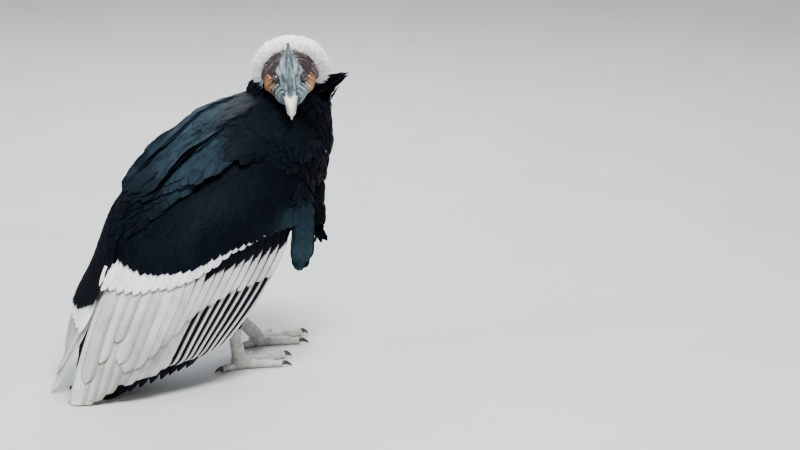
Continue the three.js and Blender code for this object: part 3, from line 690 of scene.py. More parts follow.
def build_skin():
    """One skin for trunk, neck, arms and thighs, fused so that no seam shows."""
    parts = Mesh()
    parts.add_grid(loft_rings(TRUNK, 40, 40, grow=-COAT_DEPTH), BLACK)
    parts.add_grid(loft_rings(NECK, 30, 36, grow=-COAT_DEPTH), BLACK)
    parts.add_grid(loft_rings(BREAST_TUFT[:3], 16, 28, grow=-COAT_DEPTH), BLACK)
    for leg in LEGS:
        stations = thigh_stations(leg)
        parts.add_grid(loft_rings(stations, 24, 28, grow=-6), BLACK)
    for name in ("right", "left"):
        parts.add_grid(arm_plate(name), BLACK)
        parts.add_grid(loft_rings(lobe_stations(SIGN[name]), 16, 20, grow=-2.5), BLACK)
    skin = parts.build(
        "skin_body", DARK_SKIN,
        ("torso", "neck", "thigh_right", "thigh_left"),
    )
    fuse = skin.modifiers.new("fuse", "REMESH")
    fuse.mode = "VOXEL"
    fuse.voxel_size = 0.0055
    fuse.use_smooth_shade = True
    soften = skin.modifiers.new("soften", "SMOOTH")
    soften.iterations = 4
    graph = bpy.context.evaluated_depsgraph_get()
    fused = bpy.data.meshes.new_from_object(skin.evaluated_get(graph))
    skin.modifiers.clear()
    skin.data = fused
    finish_plain_mesh(skin, BLACK, DARK_SKIN)


def finish_plain_mesh(item, colour, material):
    """Gives a remeshed piece its tint, its material and a bake map round the body's axis."""
    data = item.data
    co = np.empty(len(data.vertices) * 3, np.float32)
    data.vertices.foreach_get("co", co)
    co = co.reshape(-1, 3)
    low, high = co.min(0), co.max(0)
    angle = np.arctan2(co[:, 0] - (low[0] + high[0]) / 2, co[:, 1]) / (2 * np.pi) + 0.5
    height = (co[:, 2] - low[2]) / (high[2] - low[2])
    for layer in list(data.uv_layers):
        data.uv_layers.remove(layer)
    loops = np.empty(len(data.loops), np.int32)
    data.loops.foreach_get("vertex_index", loops)
    uv = BAKE_EDGE + (1 - 2 * BAKE_EDGE) * np.stack([angle, height], -1)[loops]
    for label in ("OFBake", "Vane"):
        set_uv(data, label, uv)
    if "tint" in data.color_attributes:
        data.color_attributes.remove(data.color_attributes["tint"])
    set_tint(data, colour)
    data.materials.clear()
    data.materials.append(material)


# Coats


def shades(n, spread, low, high):
    """A slightly different brightness for each of n feathers."""
    return np.clip(1 + rng.normal(0, spread, (n, 1, 1, 1)), low, high)


def plain_tint(base, spread=0.25):
    """A colour per feather, varied a little, with painted shade towards its root, where it lies under
    the feathers above.
    """

    def colour(u, v):
        n = u.shape[0]
        tint = np.broadcast_to(base, (n, 1, 1, 3)) if base.ndim == 1 else base[:, None, None]
        return tint * shades(n, spread, 0.5, 1.6) * mix(0.55, 1.0, v)[..., None]

    return colour


def edged_tint(base):
    """A colour per feather, with painted shade towards the vane's edges and its root, in the creases
    between feathers.
    """

    def colour(u, v):
        value = shades(len(u), 0.12, 0.6, 1.5)
        edge = 1 - 0.62 * step(0.45, 1.0, np.abs(u))
        root = mix(0.45, 1.0, step(0.1, 0.7, v))
        return base[:, None, None] * value * (edge * root)[..., None]

    return colour


def upper_side(place, normal):
    """How much a place lies on the upward-facing back, which gets the painted sky sheen, rather than on
    the black breast.
    """
    back = step(-0.15, 0.75, normal[:, 2] + 0.35 * normal[:, 1])
    return back * step(300, 380, place[:, 2])


def outside_ruff(place):
    """True where a place lies clear of the ruff's collar and of the dome behind it."""
    local = (place - HEAD_AT) @ HEAD - RUFF_AT
    radial = np.hypot(local[:, 0], local[:, 2])
    turn = np.arctan2(local[:, 2], local[:, 0])
    beside = np.abs((turn - np.pi / 2 + np.pi) % (2 * np.pi) - np.pi) < RUFF_ARC / 2
    collar = np.hypot(radial - RUFF_RADIUS, local[:, 1]) < RUFF_TUBE + 2
    dome = (radial < RUFF_RADIUS + 8) & (local[:, 1] < dome_depth(radial) + 2)
    return ~(beside & (collar | dome))


NECK_FULL_AT = np.array([14.0, -100, 538])  # where the neck's feathers stand out most
NECK_FULLNESS = 13.0

# Root and tip of each bunch of feathers in the neck's wisp
NECK_TUFTS = [
    ((-60, -192, 538), (-109, -255, 579)),
    ((-60, -190, 530), (-102, -242, 566)),
    ((-58, -192, 520), (-94, -238, 550)),
]
TUFT_SPREAD = 8.0


def build_neck_tufts(mesh):
    """Long feathers on the far side of the neck, lifted by the wind."""
    for tuft_root, tuft_tip in NECK_TUFTS:
        n = 30
        root = np.array(tuft_root, float) + rng.normal(0, TUFT_SPREAD, (n, 3))
        tip = np.array(tuft_tip, float) + rng.normal(0, TUFT_SPREAD * 0.6, (n, 3))
        root -= unit(tip - root) * 14
        line = tip - root
        length = np.linalg.norm(line, axis=-1) * rng.uniform(0.66, 0.90, n)
        v = np.linspace(0, 1, 7)
        bow = np.sin(np.pi * v)[None, :, None] * rng.normal(0, 4, (n, 1, 3))
        centre = root[:, None] + unit(line)[:, None] * (length[:, None] * v)[..., None] + bow
        up = unit(np.array([0.2, 0.3, 1.0]) + rng.normal(0, 0.35, (n, 3)))
        across = unit(np.cross(unit(line), up))
        up = np.cross(across, unit(line))
        half = rng.uniform(5.0, 8.5, (n, 1)) * oval(v, 0.5, 0.45, 0.08)[None]
        add_vanes(
            mesh, centre, across[:, None], up[:, None], half, half, VANE_THICK, half * 0.2,
            plain_tint(BLACK, 0.2), rng.uniform(0.1, 0.9, (n, 2)),
        )


def build_trunk_coat():
    mesh = Mesh()
    trunk = loft_surface(TRUNK)
    u, v = scatter(trunk, 12.0, (0.03, 0.995))
    du, _, normal = trunk.frame(u, v)
    place = trunk.at(u, v) - normal * 2.5
    keep = (u < 0.78) | (place[:, 2] < 450) | (place[:, 1] < -190)
    u, v, du, normal, place = u[keep], v[keep], du[keep], normal[keep], place[keep]
    size = mix(1.0, 0.72, step(0.55, 1.0, u)) * mix(0.75, 1.0, step(0.0, 0.3, u))
    back = upper_side(place, normal)
    # painted sky sheen, in random amounts, on the upward-facing back
    tint = mix(BLACK * 1.1, SLATE_SKY_SHEEN, (back * rng.uniform(0.0, 0.35, len(u)))[:, None])
    hang = np.array([0, 0.25, -0.35])
    body_feathers(
        mesh, place, -du + hang * mix(1.0, 0.2, back)[:, None], normal,
        46 * size, 11.5 * size, plain_tint(tint), np.stack([v, u], -1),
        rows=6, rise=0.07, wild=0.12,
    )
    tuft = loft_surface(BREAST_TUFT)
    u, v = scatter(tuft, 11.0, (0.12, 0.99))
    du, _, normal = tuft.frame(u, v)
    body_feathers(
        mesh, tuft.at(u, v) - normal * 3, du, normal, 42.0, 9.0, plain_tint(BLACK * 1.2),
        np.stack([v, u], -1), rows=6, rise=0.07, wild=0.14,
    )
    neck = loft_surface(NECK)
    u, v = scatter(neck, 10.0, (0.0, 0.99))
    du, _, normal = neck.frame(u, v)
    place = neck.at(u, v) - normal * 2
    near = np.sum((place - NECK_FULL_AT) ** 2, -1, keepdims=True)
    place = place + normal * NECK_FULLNESS * np.exp(-near / (2 * 30.0**2))
    keep = ((place[:, 1] < -120) | (place[:, 2] > 525)) & outside_ruff(place)
    u, v, du, normal, place = u[keep], v[keep], du[keep], normal[keep], place[keep]
    size = mix(1.0, 0.6, step(0.3, 0.95, u))
    back = upper_side(place, normal)
    # painted sky sheen, in random amounts, on the upward-facing back of the neck
    tint = mix(BLACK * 1.1, SLATE_SKY_SHEEN, (back * rng.uniform(0.0, 0.25, len(u)))[:, None])
    body_feathers(
        mesh, place, -du + [0, 0, -0.2], normal, 38 * size, 8.5 * size,
        plain_tint(tint), np.stack([v * 0.999, u], -1), rows=6, rise=0.12, wild=0.18,
    )
    build_neck_tufts(mesh)
    mesh.build("coat_body", BODY_FEATHER, sharp=70)


def build_thigh_coat():
    mesh = Mesh()
    for leg in LEGS:
        thigh = loft_surface(thigh_stations(leg), 30, 40)
        u, v = scatter(thigh, 11.5, (0.05, 0.97))
        du, _, normal = thigh.frame(u, v)
        place = thigh.at(u, v) - normal * 3
        size = mix(1.0, 0.7, step(0.5, 1.0, u))
        body_feathers(
            mesh, place, du, normal, 40 * size, 9.5 * size,
            plain_tint(BLACK, 0.3), np.stack([v, u], -1), wild=0.16,
        )
    mesh.build("coat_thighs", BODY_FEATHER, sharp=70)


MANTLE_RING = (-140, 430, 118)  # where it leaves the neck: y, z and radius
MANTLE_TOP = [-0.14, -0.14, -0.14, -0.30]  # place down the wing where it meets the wing, by s
MANTLE_LOW = [-0.06, -0.04, 0.02, 0.33]  # and where its lowest tips lie
MANTLE_S = [0, 0.33, 0.67, 1]  # where on the wing the two lists above are read
MANTLE_HALF = 30  # columns on each side
SHADED_SIDE = np.array([-0.669, -0.743])  # across the body towards the side where painted shade turns the mantle black
MANTLE_HUNCH = 20  # how far the middle of the back stands out


def mantle_surface():
    """A sheet from the neck over both shoulders and the back to the tops of the wings."""
    columns = []
    y, z, radius = MANTLE_RING
    for k in range(2 * MANTLE_HALF + 1):
        place = k / (2 * MANTLE_HALF)
        side = "right" if k <= MANTLE_HALF else "left"
        inward = min(place, 1 - place) / 0.44
        s = min(1.0, inward)
        middle = step(1.0, 0.5 / 0.44, inward)
        turn = math.radians(10 + 160 * place)
        ring = np.array([-radius * math.cos(turn), y, z + radius * math.sin(turn)])
        hunch = step(0.30, 0.95, inward)
        top = np.interp(s, MANTLE_S, MANTLE_TOP)
        low = np.interp(s, MANTLE_S, MANTLE_LOW) + 0.08 * middle
        points = []
        for f in (0, 1 / 3, 2 / 3, 1):
            u, v = wing_uv(s, mix(top, low, f))
            normal = WING[side].frame(u, v)[2]
            lift = mix(1, 5, step(0.0, 0.3, inward)) + 9 * middle * (1 - 0.7 * f)
            lift += MANTLE_HUNCH * hunch * math.sin(2.3 - 2.3 * f)
            point = WING[side].at(u, v) + normal * lift
            point[0] *= 1 - middle
            points.append(point)
        between = (ring + points[0]) / 2 + unit(ring - [0, y, z - 60]) * (7 + 14 * hunch)
        columns.append(curve([ring, between, *points], np.linspace(0, 1, 61)))
    sheet = Surface(np.array(columns).transpose(1, 0, 2))
    if sheet.normal[30, MANTLE_HALF, 2] < 0:
        sheet.normal = -sheet.normal
    return sheet


def build_mantle_coat():
    """Long shoulder and back feathers over the tops of both wings and the middle of the back."""
    mesh = Mesh()
    sheet = mantle_surface()
    places = []
    columns = 74
    for k in range(columns):
        v = (k + 0.5) / columns
        line = sheet.at(np.linspace(0, 1, 61), np.full(61, v))
        run = run_along(line)
        rows = max(4, int(run[-1] / 20))
        along = (np.arange(rows) + 0.5 * (k % 2) + 0.1) / rows * max(0.5, 1 - 42 / run[-1])
        u = np.interp(along * run[-1], run, np.linspace(0, 1, 61))
        places.append(np.stack([u, np.full(rows, v), run[-1] * along], -1))
    u, v, down = np.concatenate(places).T
    count = len(u)
    u = np.clip(u + rng.normal(0, 0.008, count), 0, 1)
    v = np.clip(v + rng.normal(0, 0.003, count), 0, 1)
    du, _, normal = sheet.frame(u, v)
    place = sheet.at(u, v) - normal * 2.5
    flow = np.array([0, 0.80, -0.55])
    share = step(60, 200, down)[:, None]
    along = du + flow * share * 0.7
    size = step(-40, 170, down)
    patch = smooth_noise(place[:, 0] * 0.03 + 5, place[:, 1] * 0.028, 21)
    # painted sky sheen in soft patches, faded out towards the shaded side and towards the tail
    light = np.clip(0.62 + 0.30 * patch + rng.normal(0, 0.12, count), 0.12, 1.1)[:, None]
    forward = place[:, :2] @ SHADED_SIDE
    light = light * mix(1.0, 0.08, step(-10, 85, forward))[:, None]
    light = light * (1 - 0.92 * step(70, 200, place[:, 1]))[:, None]
    body_feathers(
        mesh, place, along, normal, mix(40, 82, size), mix(10, 15.5, size),
        edged_tint(mix(BLACK, SLATE_SKY_SHEEN * 1.25, light)), np.stack([v, u], -1),
        rows=8, nu=4, sink=0.05, rise=0.035, curl=0.045, cup=0.16, wild=0.05,
    )
    mesh.build("coat_mantle", BODY_FEATHER, sharp=70)


def build_covert_coat(name):
    """Lesser coverts over the arm, and the wrist's lobe of small feathers."""
    mesh = Mesh()
    surface = WING[name]
    side = SIGN[name]
    rows = 24
    count = 34
    for i in range(rows):
        f = i / (rows - 1)
        s = (np.arange(count) + 0.5 * (i % 2)) / (count - 0.5) * 1.09 - 0.05
        s = s + rng.normal(0, 0.006, count)
        end = wing_line(BAND_TOP, s) + BAND_SHIFT[name]
        t = mix(-0.14, end - 0.078, f) + rng.normal(0, 0.002, count)
        u, v = wing_uv(s, t)
        _, dv, normal = surface.frame(u, v)
        place = surface.at(u, v) + normal * mix(-1.0, 3.0, step(0.75, 1.0, f))
        size = mix(0.85, 1.05, f)
        sheen = smooth_noise(s * 5, t * 7, 40)[:, None] * 0.5 + 0.5
        wrist = step(0.15, -0.02, s) * step(0.08, 0.25, t)
        # painted teal sky sheen at the wrist, over the painted sheen of the black coverts
        tint = mix(BLACK * mix(0.8, 2.2, sheen), TEAL_SKY_SHEEN * 0.8, wrist[:, None])
        body_feathers(
            mesh, place, dv, normal, 42.0 * size, 11.5 * size, plain_tint(tint, 0.12),
            np.stack([u, v], -1), rows=6, sink=0.09, rise=0.03, curl=0.045, wild=0.02,
        )
    lobe = loft_surface(lobe_stations(side), 30, 36)
    u, v = scatter(lobe, 10.0, (0.03, 0.97))
    du, _, normal = lobe.frame(u, v)
    place = lobe.at(u, v) - normal * mix(4.0, 1.0, step(0.05, 0.3, u))[:, None]
    # painted teal sky sheen over the lobe below its top
    tint = mix(BLACK, TEAL_SKY_SHEEN, (rng.uniform(0.8, 1.0, len(u)) * step(0.05, 0.6, u))[:, None])
    body_feathers(
        mesh, place, du, normal, mix(44.0, 13.0, step(0.55, 0.95, u)), 8.0,
        plain_tint(tint, 0.08), np.stack([v, u], -1), rows=6, sink=0.04, rise=0.02,
        curl=0.03, wild=0.015,
    )
    mesh.build(f"coat_wing_{name}", BODY_FEATHER, sharp=70)


# Flight feathers


def flight_shape(v, tip_from):
    """A flight feather's half width along its length, as a share of the widest."""
    rise = 0.5 + 0.5 * np.sin(np.clip(v / 0.5, 0, 1) * np.pi / 2)
    late = np.clip((v - tip_from) / (1 - tip_from), 0, 1)
    return rise * np.maximum(0.10, np.sqrt(np.maximum(0, 1 - late**2.1)))


def ragged(n, rows, amount):
    """Small uneven gaps in a vane's edge, where barbs have parted."""
    wave = rng.normal(0, 1, (n, rows))
    return 1 - amount * np.clip(wave - 1.1, 0, 1.5)


def wing_tier(mesh, name, count, s, t, lift, tilt, widths, colour, rows, nu,
              cup=1.2, tip_from=0.86, rank=0.0, spread_rate=1.0, lift_rate=1.0):
    """A tier of vanes along the wing surface. s, t, lift and widths are pairs: the first two and
    lift from root to tip, widths from outer to inner web. A value is one for all the vanes or an
    array over them. rank is how far each vane lies inside the first, and above it where they
    reach the floor."""
    surface = WING[name]
    v = np.linspace(0, 1, rows)
    s_from, s_to, t_from, t_to, outer, inner, rank = (
        np.broadcast_to(a, count)[:, None] for a in (*s, *t, *widths, rank)
    )
    s = mix(s_from, s_to, np.minimum(1, v * spread_rate))
    t = mix(t_from, t_to, v)
    a, b = wing_uv(s, t)
    du, _, normal = surface.frame(a, b)
    sunk = mix(*lift, np.minimum(1, v * lift_rate)) - rank
    centre = surface.at(a, b) + normal * sunk[..., None]
    centre[..., 2] = np.maximum(centre[..., 2], FLOOR_GAP + 2 + rank)
    across = unit(du - normal * tilt)
    ahead = unit(np.gradient(centre, axis=1))
    across = unit(across - ahead * np.sum(across * ahead, -1, keepdims=True))
    up = np.cross(across, ahead)
    up = up * np.sign(np.sum(up * normal, -1, keepdims=True))
    shape = flight_shape(v, tip_from)
    left = outer * shape * ragged(count, rows, 0.06)
    right = inner * shape * ragged(count, rows, 0.10)
    root_uv = np.stack([a[:, 0], b[:, 0]], -1)
    add_vanes(mesh, centre, across, up, left, right, mix(2.0, 0.7, v), cup, colour, root_uv, nu)


def web_tint(s, pale, start, narrow_from, edge, warm_shade):
    """Pale outer web and black inner web. u is -1 at the outer edge. start and narrow_from are
    places along the vane; past narrow_from only the share edge of the outer web stays pale."""

    def colour(u, v):
        value = shades(len(u), 0.06, 0.82, 1.12)
        narrow = step(0.0, 0.05, v - narrow_from[:, None, None])
        reach = mix(np.ones_like(v), edge[:, None, None], narrow)
        early = mix(0.26, 0.10, step(0.05, 0.4, s))[:, None, None]
        ahead = (v - start[:, None, None] - 0.03 * (1 + u)) / early
        wedge = step(-0.5, 1.0, ahead)
        line = -1.12 + 1.1 * reach * wedge
        inner = step(0.52, 0.66, s)[:, None, None]
        line = mix(line, np.full_like(line, 1.2), inner)
        white = 1 - step(line - 0.07, line + 0.07, u)
        light = pale[:, None, None] * value * mix(1.08, 0.92, v)[..., None]
        # painted warm shade along both edges of the vane, where the feathers overlap
        rim = np.maximum(step(-0.1, -0.95, u), step(0.55, 1.0, u) * 0.7)
        rim = rim * step(0.05, 0.5, v) * warm_shade[:, None, None]
        light = mix(light, light * np.array([0.50, 0.41, 0.33]), rim[..., None])
        return mix(np.broadcast_to(BLACK, light.shape), light, white[..., None])

    return colour


def vane_place(t, t_from, t_to):
    return (t - t_from) / (t_to - t_from)


def build_flight(name):
    mesh = Mesh()
    shift = BAND_SHIFT[name]

    # Primaries, which reach furthest down
    count = 9
    f = np.arange(count) / (count - 1)
    wing_tier(
        mesh, name, count, (-0.06, mix(0.1, 0.74, f)), (0.3, 1.065), (-15, -24), 0.0, (13.0, 17.0),
        plain_tint(BLACK * 1.3, 0.12), 26, 6, cup=1.0, rank=1.3 * np.arange(count),
        spread_rate=1.25, lift_rate=4,
    )

    # A dark layer inside the secondaries
    count = 14
    f = np.arange(count) / (count - 1)
    wing_tier(
        mesh, name, count, (mix(0.0, 0.9, f), mix(0.02, 0.92, f)), (0.3, 0.93), (-12.0, -12.0), 0.10,
        (18.0, 18.0), plain_tint(BLACK * 1.2, 0.1), 16, 4,
    )

    # Long secondaries
    count = 18
    f = np.arange(count) / (count - 1)
    s = f**1.06 * 0.985
    t_from = 0.40
    t_to = np.interp(s, [0, 0.75, 0.88, 1.0], [0.985, 0.985, 1.03, 1.045])
    t_to = t_to + rng.normal(0, 0.007, count)
    pale = mix(WHITE * 0.72, CREAM * 0.92, step(0.3, 0.6, s)[:, None])
    pale = mix(pale, WHITE * 0.70, step(0.8, 0.95, s)[:, None])
    edge = mix(0.42, 1.2, step(0.37, 0.47, s))
    start = vane_place(wing_line(WHITE_START, s) + shift, t_from, t_to)
    narrow = vane_place(wing_line(SECOND_END, s) - 0.02, t_from, t_to)
    wing_tier(
        mesh, name, count, (s, s + 0.012), (t_from, t_to), (-9.0, -7.5), 0.13,
        (mix(13.5, 18.0, f), mix(15, 18.0, f)),
        web_tint(s, pale, start, narrow, edge, step(0.6, 0.85, s) * 0.8), 34, 8, tip_from=0.9,
    )

    # Shorter secondaries over them
    f = (np.arange(count) + 0.4) / (count - 0.2)
    s = f**1.06 * 0.985
    t_from = 0.38
    t_to = wing_line(SECOND_END, s) + rng.normal(0, 0.006, count) + shift * 0.3
    pale = mix(WHITE * 0.76, CREAM * 0.98, step(0.25, 0.6, s)[:, None])
    start = vane_place(wing_line(WHITE_START, s) + shift, t_from, t_to)
    wing_tier(
        mesh, name, count, (s, s + 0.006), (t_from, t_to), (-5.5, -3.2), 0.13,
        (mix(13.5, 17.0, f), mix(14, 17.0, f)),
        web_tint(s, pale, start, np.full(count, 2.0), np.ones(count), step(0.6, 0.85, s) * 0.8),
        28, 8, tip_from=0.84,
    )

    # Greater coverts, whose ends make the white line
    count = 24
    f = np.arange(count) / (count - 1)
    s = mix(-0.02, 1.02, f)
    ends = wing_line(BAND_END, s) + shift + rng.normal(0, 0.004, count)
    full = step(0.02, 0.10, s)[:, None, None]

    def band(u, v):
        value = shades(len(u), 0.04, 0.9, 1.1)
        rim = step(0.86, 0.93, v + 0.10 * u**2)
        white = mix(rim, np.ones_like(v), full) * step(0.10, 0.15, s)[:, None, None]
        light = WHITE * 0.97 * value * np.ones((1, 1, 1, 3))
        return mix(np.broadcast_to(BLACK, (*u.shape, 3)), light, white[..., None])

    wing_tier(
        mesh, name, count, (s, s + 0.004), (ends - 0.16, ends), (-3.0, 1.4), 0.12, (14.0, 14.5),
        band, 14, 8, tip_from=0.55, cup=1.8,
    )
    mesh.build(
        f"flight_feathers_{name}", WING_FEATHER,
        (f"wing_{name}", f"hand_{name}"), sharp=70,
    )


def build_tail():
    mesh = Mesh()
    count = 12
    rows = 24
    v = np.linspace(0, 1, rows)
    line = curve(TAIL_LINE, mix(0.08, 1.0, v))
    ahead = unit(np.gradient(line, axis=0))
    up = np.cross(ahead, [1.0, 0, 0])
    up = up * np.sign(up[:, 1:2] + 1e-6)
    place = np.arange(count) - (count - 1) / 2
    rank = np.round((count - 1) / 2 - np.abs(place)) * 2 + (place > 0)
    lift = 1.15 * rank + 0.6
    centre = line[None] + up[None] * lift[:, None, None]
    centre[..., 0] += place[:, None] * 9.2 * (0.25 + 0.75 * v)
    centre[..., 2] = np.maximum(centre[..., 2], lift[:, None])
    half = 15.0 * flight_shape(v, 0.88)
    root = np.stack([(place + 6.5) / 13, np.full(count, 0.1)], -1)
    add_vanes(
        mesh, centre, np.array([1.0, 0, 0]), up, half * ragged(count, rows, 0.08),
        half * ragged(count, rows, 0.08), mix(1.8, 0.7, v), half * 0.03,
        plain_tint(BLACK * 1.1, 0.12), root, 6,
    )
    base = loft_surface(
        [(0, 130, 232, 70, 52), (0, 178, 192, 44, 30), (0, 212, 150, 36, 18), (0, 232, 112, 28, 10)],
        20, 30,
    )
    u, w = scatter(base, 13.0, (0.02, 0.98))
    du, _, normal = base.frame(u, w)
    body_feathers(
        mesh, base.at(u, w) - normal * 2, du, normal, 56.0, 13.0, plain_tint(BLACK, 0.2),
        np.stack([w, u], -1), rows=6, wild=0.08,
    )
    mesh.build("tail_feathers", WING_FEATHER, ("tail",), sharp=70)


# Head, modelled facing -Y round its own centre, then turned into place


def head_matrix():
    turn = Matrix.Rotation(math.radians(HEAD_TURN), 3, "Z")
    bend = Matrix.Rotation(math.radians(HEAD_BEND), 3, "X")
    roll = Matrix.Rotation(math.radians(HEAD_ROLL), 3, "Y")
    return np.array(turn @ bend @ roll)


HEAD = head_matrix()


def to_head(points):
    return points @ HEAD.T + HEAD_AT


SKULL = [
    (0, 62, -8, 32, 32),
    (0, 44, -4, 46, 45),
    (0, 22, 2, 50, 48),
    (0, 2, 4, 44, 44),
    (0, -16, 2, 34, 37),
    (0, -34, -4, 24, 28),
    (0, -50, -8, 17, 21),
]


def smooth_noise(x, y, seed):
    """Soft wandering values between about -1 and 1."""
    local = np.random.default_rng(seed)
    total = np.zeros(np.broadcast(x, y).shape)
    for k in range(6):
        a, b = local.uniform(-1, 1, 2) * (1.2 + k)
        phase = local.uniform(0, 6.28)
        total = total + np.sin(a * x + b * y + phase) / (1 + 0.5 * k)
    return total / 3


def creased(x, y, seed):
    """Soft ridges with narrow creases between them: 0 in a crease and near 1 on a ridge."""
    return np.clip(np.abs(smooth_noise(x, y, seed)) * 2.2, 0, 1) ** 0.5


# Half width of the grey skin of the face, by height up the face as seen from its front
GREY_UP = [-60, -40, -15, 0, 21, 41, 55, 62]
GREY_HALF = [10, 23, 27, 26, 22, 13, 5, 0]


def face_height(y, z):
    """How high a point of the bent head shows when its face is seen from the front."""
    return 0.629 * y + 0.777 * z


def build_head():
    steps, sides = 200, 220
    rings = loft_rings(SKULL, steps, sides)
    centre = rings[:, :-1].mean(1, keepdims=True)
    out = unit(rings - centre)
    x, y, z = rings[..., 0], rings[..., 1], rings[..., 2]
    side = np.abs(x) / 50
    up = face_height(y, z)
    angle = np.arctan2(z, x)
    half = np.interp(up, GREY_UP, GREY_HALF)
    grey_part = 1 - step(-2, 3, np.abs(x) - half)
    grey_part = np.maximum(grey_part, step(-26, -36, y))
    # Folds that run round the face, broken and uneven
    wander = smooth_noise(angle * 3.0, y * 0.06, 3) * 8.0
    fold = (y + wander + 6 * np.cos(2 * angle)) / 11.5
    wave = np.abs(np.sin(np.pi * fold)) ** 0.55
    small = creased(angle * 2.6, y * 0.17, 5)
    lump = wave * (0.55 + 0.45 * small)
    strength = step(-44, -20, y) * (1 - step(44, 58, y))
    cracks = creased(x * 0.13, up * 0.05, 31)
    push = mix(6.5 * strength * (lump - 0.6), 2.4 * (cracks - 0.6), grey_part)
    brow = np.exp(-(((y + 25) / 9) ** 2) - (((z - 28) / 5) ** 2)) * step(0.25, 0.45, side)
    socket = np.exp(-(((y + 25) / 8) ** 2) - (((z - 18) / 7) ** 2)) * step(0.25, 0.45, side)
    mouth = np.exp(-(((z + 23 - 0.12 * (y + 50)) / 1.6) ** 2)) * step(-16, -24, y)
    push = push + 3.5 * brow - 3.5 * socket - 2.5 * mouth
    rings = rings + out * push[..., None]
    plum = np.array([0.022, 0.009, 0.012])
    lilac_highlight = np.array([0.20, 0.135, 0.155])
    brown = np.array([0.13, 0.055, 0.038])
    grey = np.array([0.165, 0.225, 0.25])
    mauve = np.array([0.10, 0.072, 0.09])
    patch = step(-0.5, 0.6, smooth_noise(angle * 2, y * 0.05, 17))
    # painted highlight: lilac on the ridges of the folds, in random patches
    streak = step(0.72, 1.0, lump) * step(0.35, 0.95, creased(angle * 5.0, y * 0.33, 19))
    tint = mix(plum * 0.8, lilac_highlight * 1.1, (streak * mix(0.1, 1.0, patch))[..., None])
    tint = mix(tint, mauve * 0.8, (step(24, 44, y) * 0.4)[..., None])
    low = step(4, -18, z) * step(0.25, 0.5, side) * step(-34, -14, y)
    # brown lower sides of the face, with painted shade in the troughs of the folds
    tint = mix(tint, brown * mix(0.3, 1.2, lump)[..., None], (low * 0.85)[..., None])
    # painted shade in the creases of the grey skin, lighter on its ridges
    crease_shade = cracks * mix(0.6, 1.0, creased(x * 0.3, up * 0.12, 44))
    shade = mix(0.05, 1.35, crease_shade**1.5)
    tint = mix(tint, grey * shade[..., None], grey_part[..., None])
    # painted shade in the hollows of the eye sockets
    tint = tint * mix(1.0, 0.35, socket)[..., None]
    mesh = Mesh()
    mesh.add_grid(to_head(rings), tint)
    add_rolls(mesh)
    mesh.build("skin_head", FACE_SKIN, ("head",))


# Hanging folds of one side, grey ones beside the bill and then the cheek wattles: the line of
# each from its top, its thickness and its tone
ROLLS = [
    ([(15, -52, 5), (20, -48, -9), (18, -41, -27), (11, -34, -43)], 5.2, "grey"),
    ([(20, -45, 9), (25, -41, -7), (22, -34, -27), (13, -27, -44)], 4.8, "grey"),
    ([(24, -37, 11), (29, -33, -6), (26, -26, -26), (16, -20, -43)], 4.8, "ash"),
    ([(29, -29, 9), (34, -25, -6), (31, -18, -24), (22, -13, -40)], 5.0, "tan"),
    ([(34, -21, 10), (38, -17, -4), (37, -10, -23), (28, -5, -40)], 5.4, "orange"),
    ([(38, -13, 11), (42, -9, -3), (41, -3, -22), (32, 3, -39)], 5.4, "orange"),
    ([(41, -5, 12), (45, -1, -3), (44, 5, -22), (34, 10, -38)], 5.4, "rust"),
    ([(43, 3, 16), (47, 8, -2), (46, 13, -21), (36, 17, -37)], 5.4, "brown"),
    ([(44, 12, 22), (49, 17, 4), (49, 22, -16), (39, 26, -34)], 5.6, "mauve"),
]
TONES = {
    "grey": np.array([0.20, 0.265, 0.29]),
    "ash": np.array([0.21, 0.215, 0.21]),
    "tan": np.array([0.36, 0.26, 0.19]),
    "orange": np.array([0.46, 0.225, 0.10]),
    "rust": np.array([0.27, 0.12, 0.065]),
    "brown": np.array([0.10, 0.045, 0.036]),
    "mauve": np.array([0.10, 0.072, 0.09]),
}


def add_rolls(mesh):
    """Hanging folds and wattles of bare skin on both sides of the face."""
    uneven = np.random.default_rng(77)
    for side in (-1, 1):
        for k, (points, thickness, tone) in enumerate(ROLLS):
            last = len(points) - 1
            stations = []
            for i, (x, y, z) in enumerate(points):
                swell = math.sin(math.pi * mix(0.16, 0.86, i / last))
                thick = thickness * swell * uneven.uniform(0.85, 1.15)
                dx, dy, dz = uneven.uniform(-1.3, 1.3, 3)
                stations.append((side * (x + dx), y + dy, z + dz, thick * 0.8, thick * 1.25))

            def relief(f, angle, k=k):
                lines = creased(angle * 1.4 + k, f * 1.3 + k, 50 + k)
                knots = creased(angle * 1.1, f * 5.0 + k, 70 + k)
                return mix(lines, knots, 0.35)

            def crease(f, angle):
                return 1 + 0.30 * (relief(f, angle) - 0.6) * np.sin(f * np.pi)

            rings = loft_rings(stations, 60, 40, (0, 1, 0.01), bulge=crease)
            f = np.linspace(0, 1, 61)[:, None]
            angle = np.linspace(0, 2 * np.pi, 41)[None]
            depth = relief(f, angle)
            shade = mix(0.12, 1.2, step(0.1, 0.9, depth))[..., None]
            mesh.add_grid(to_head(rings), TONES[tone] * shade)


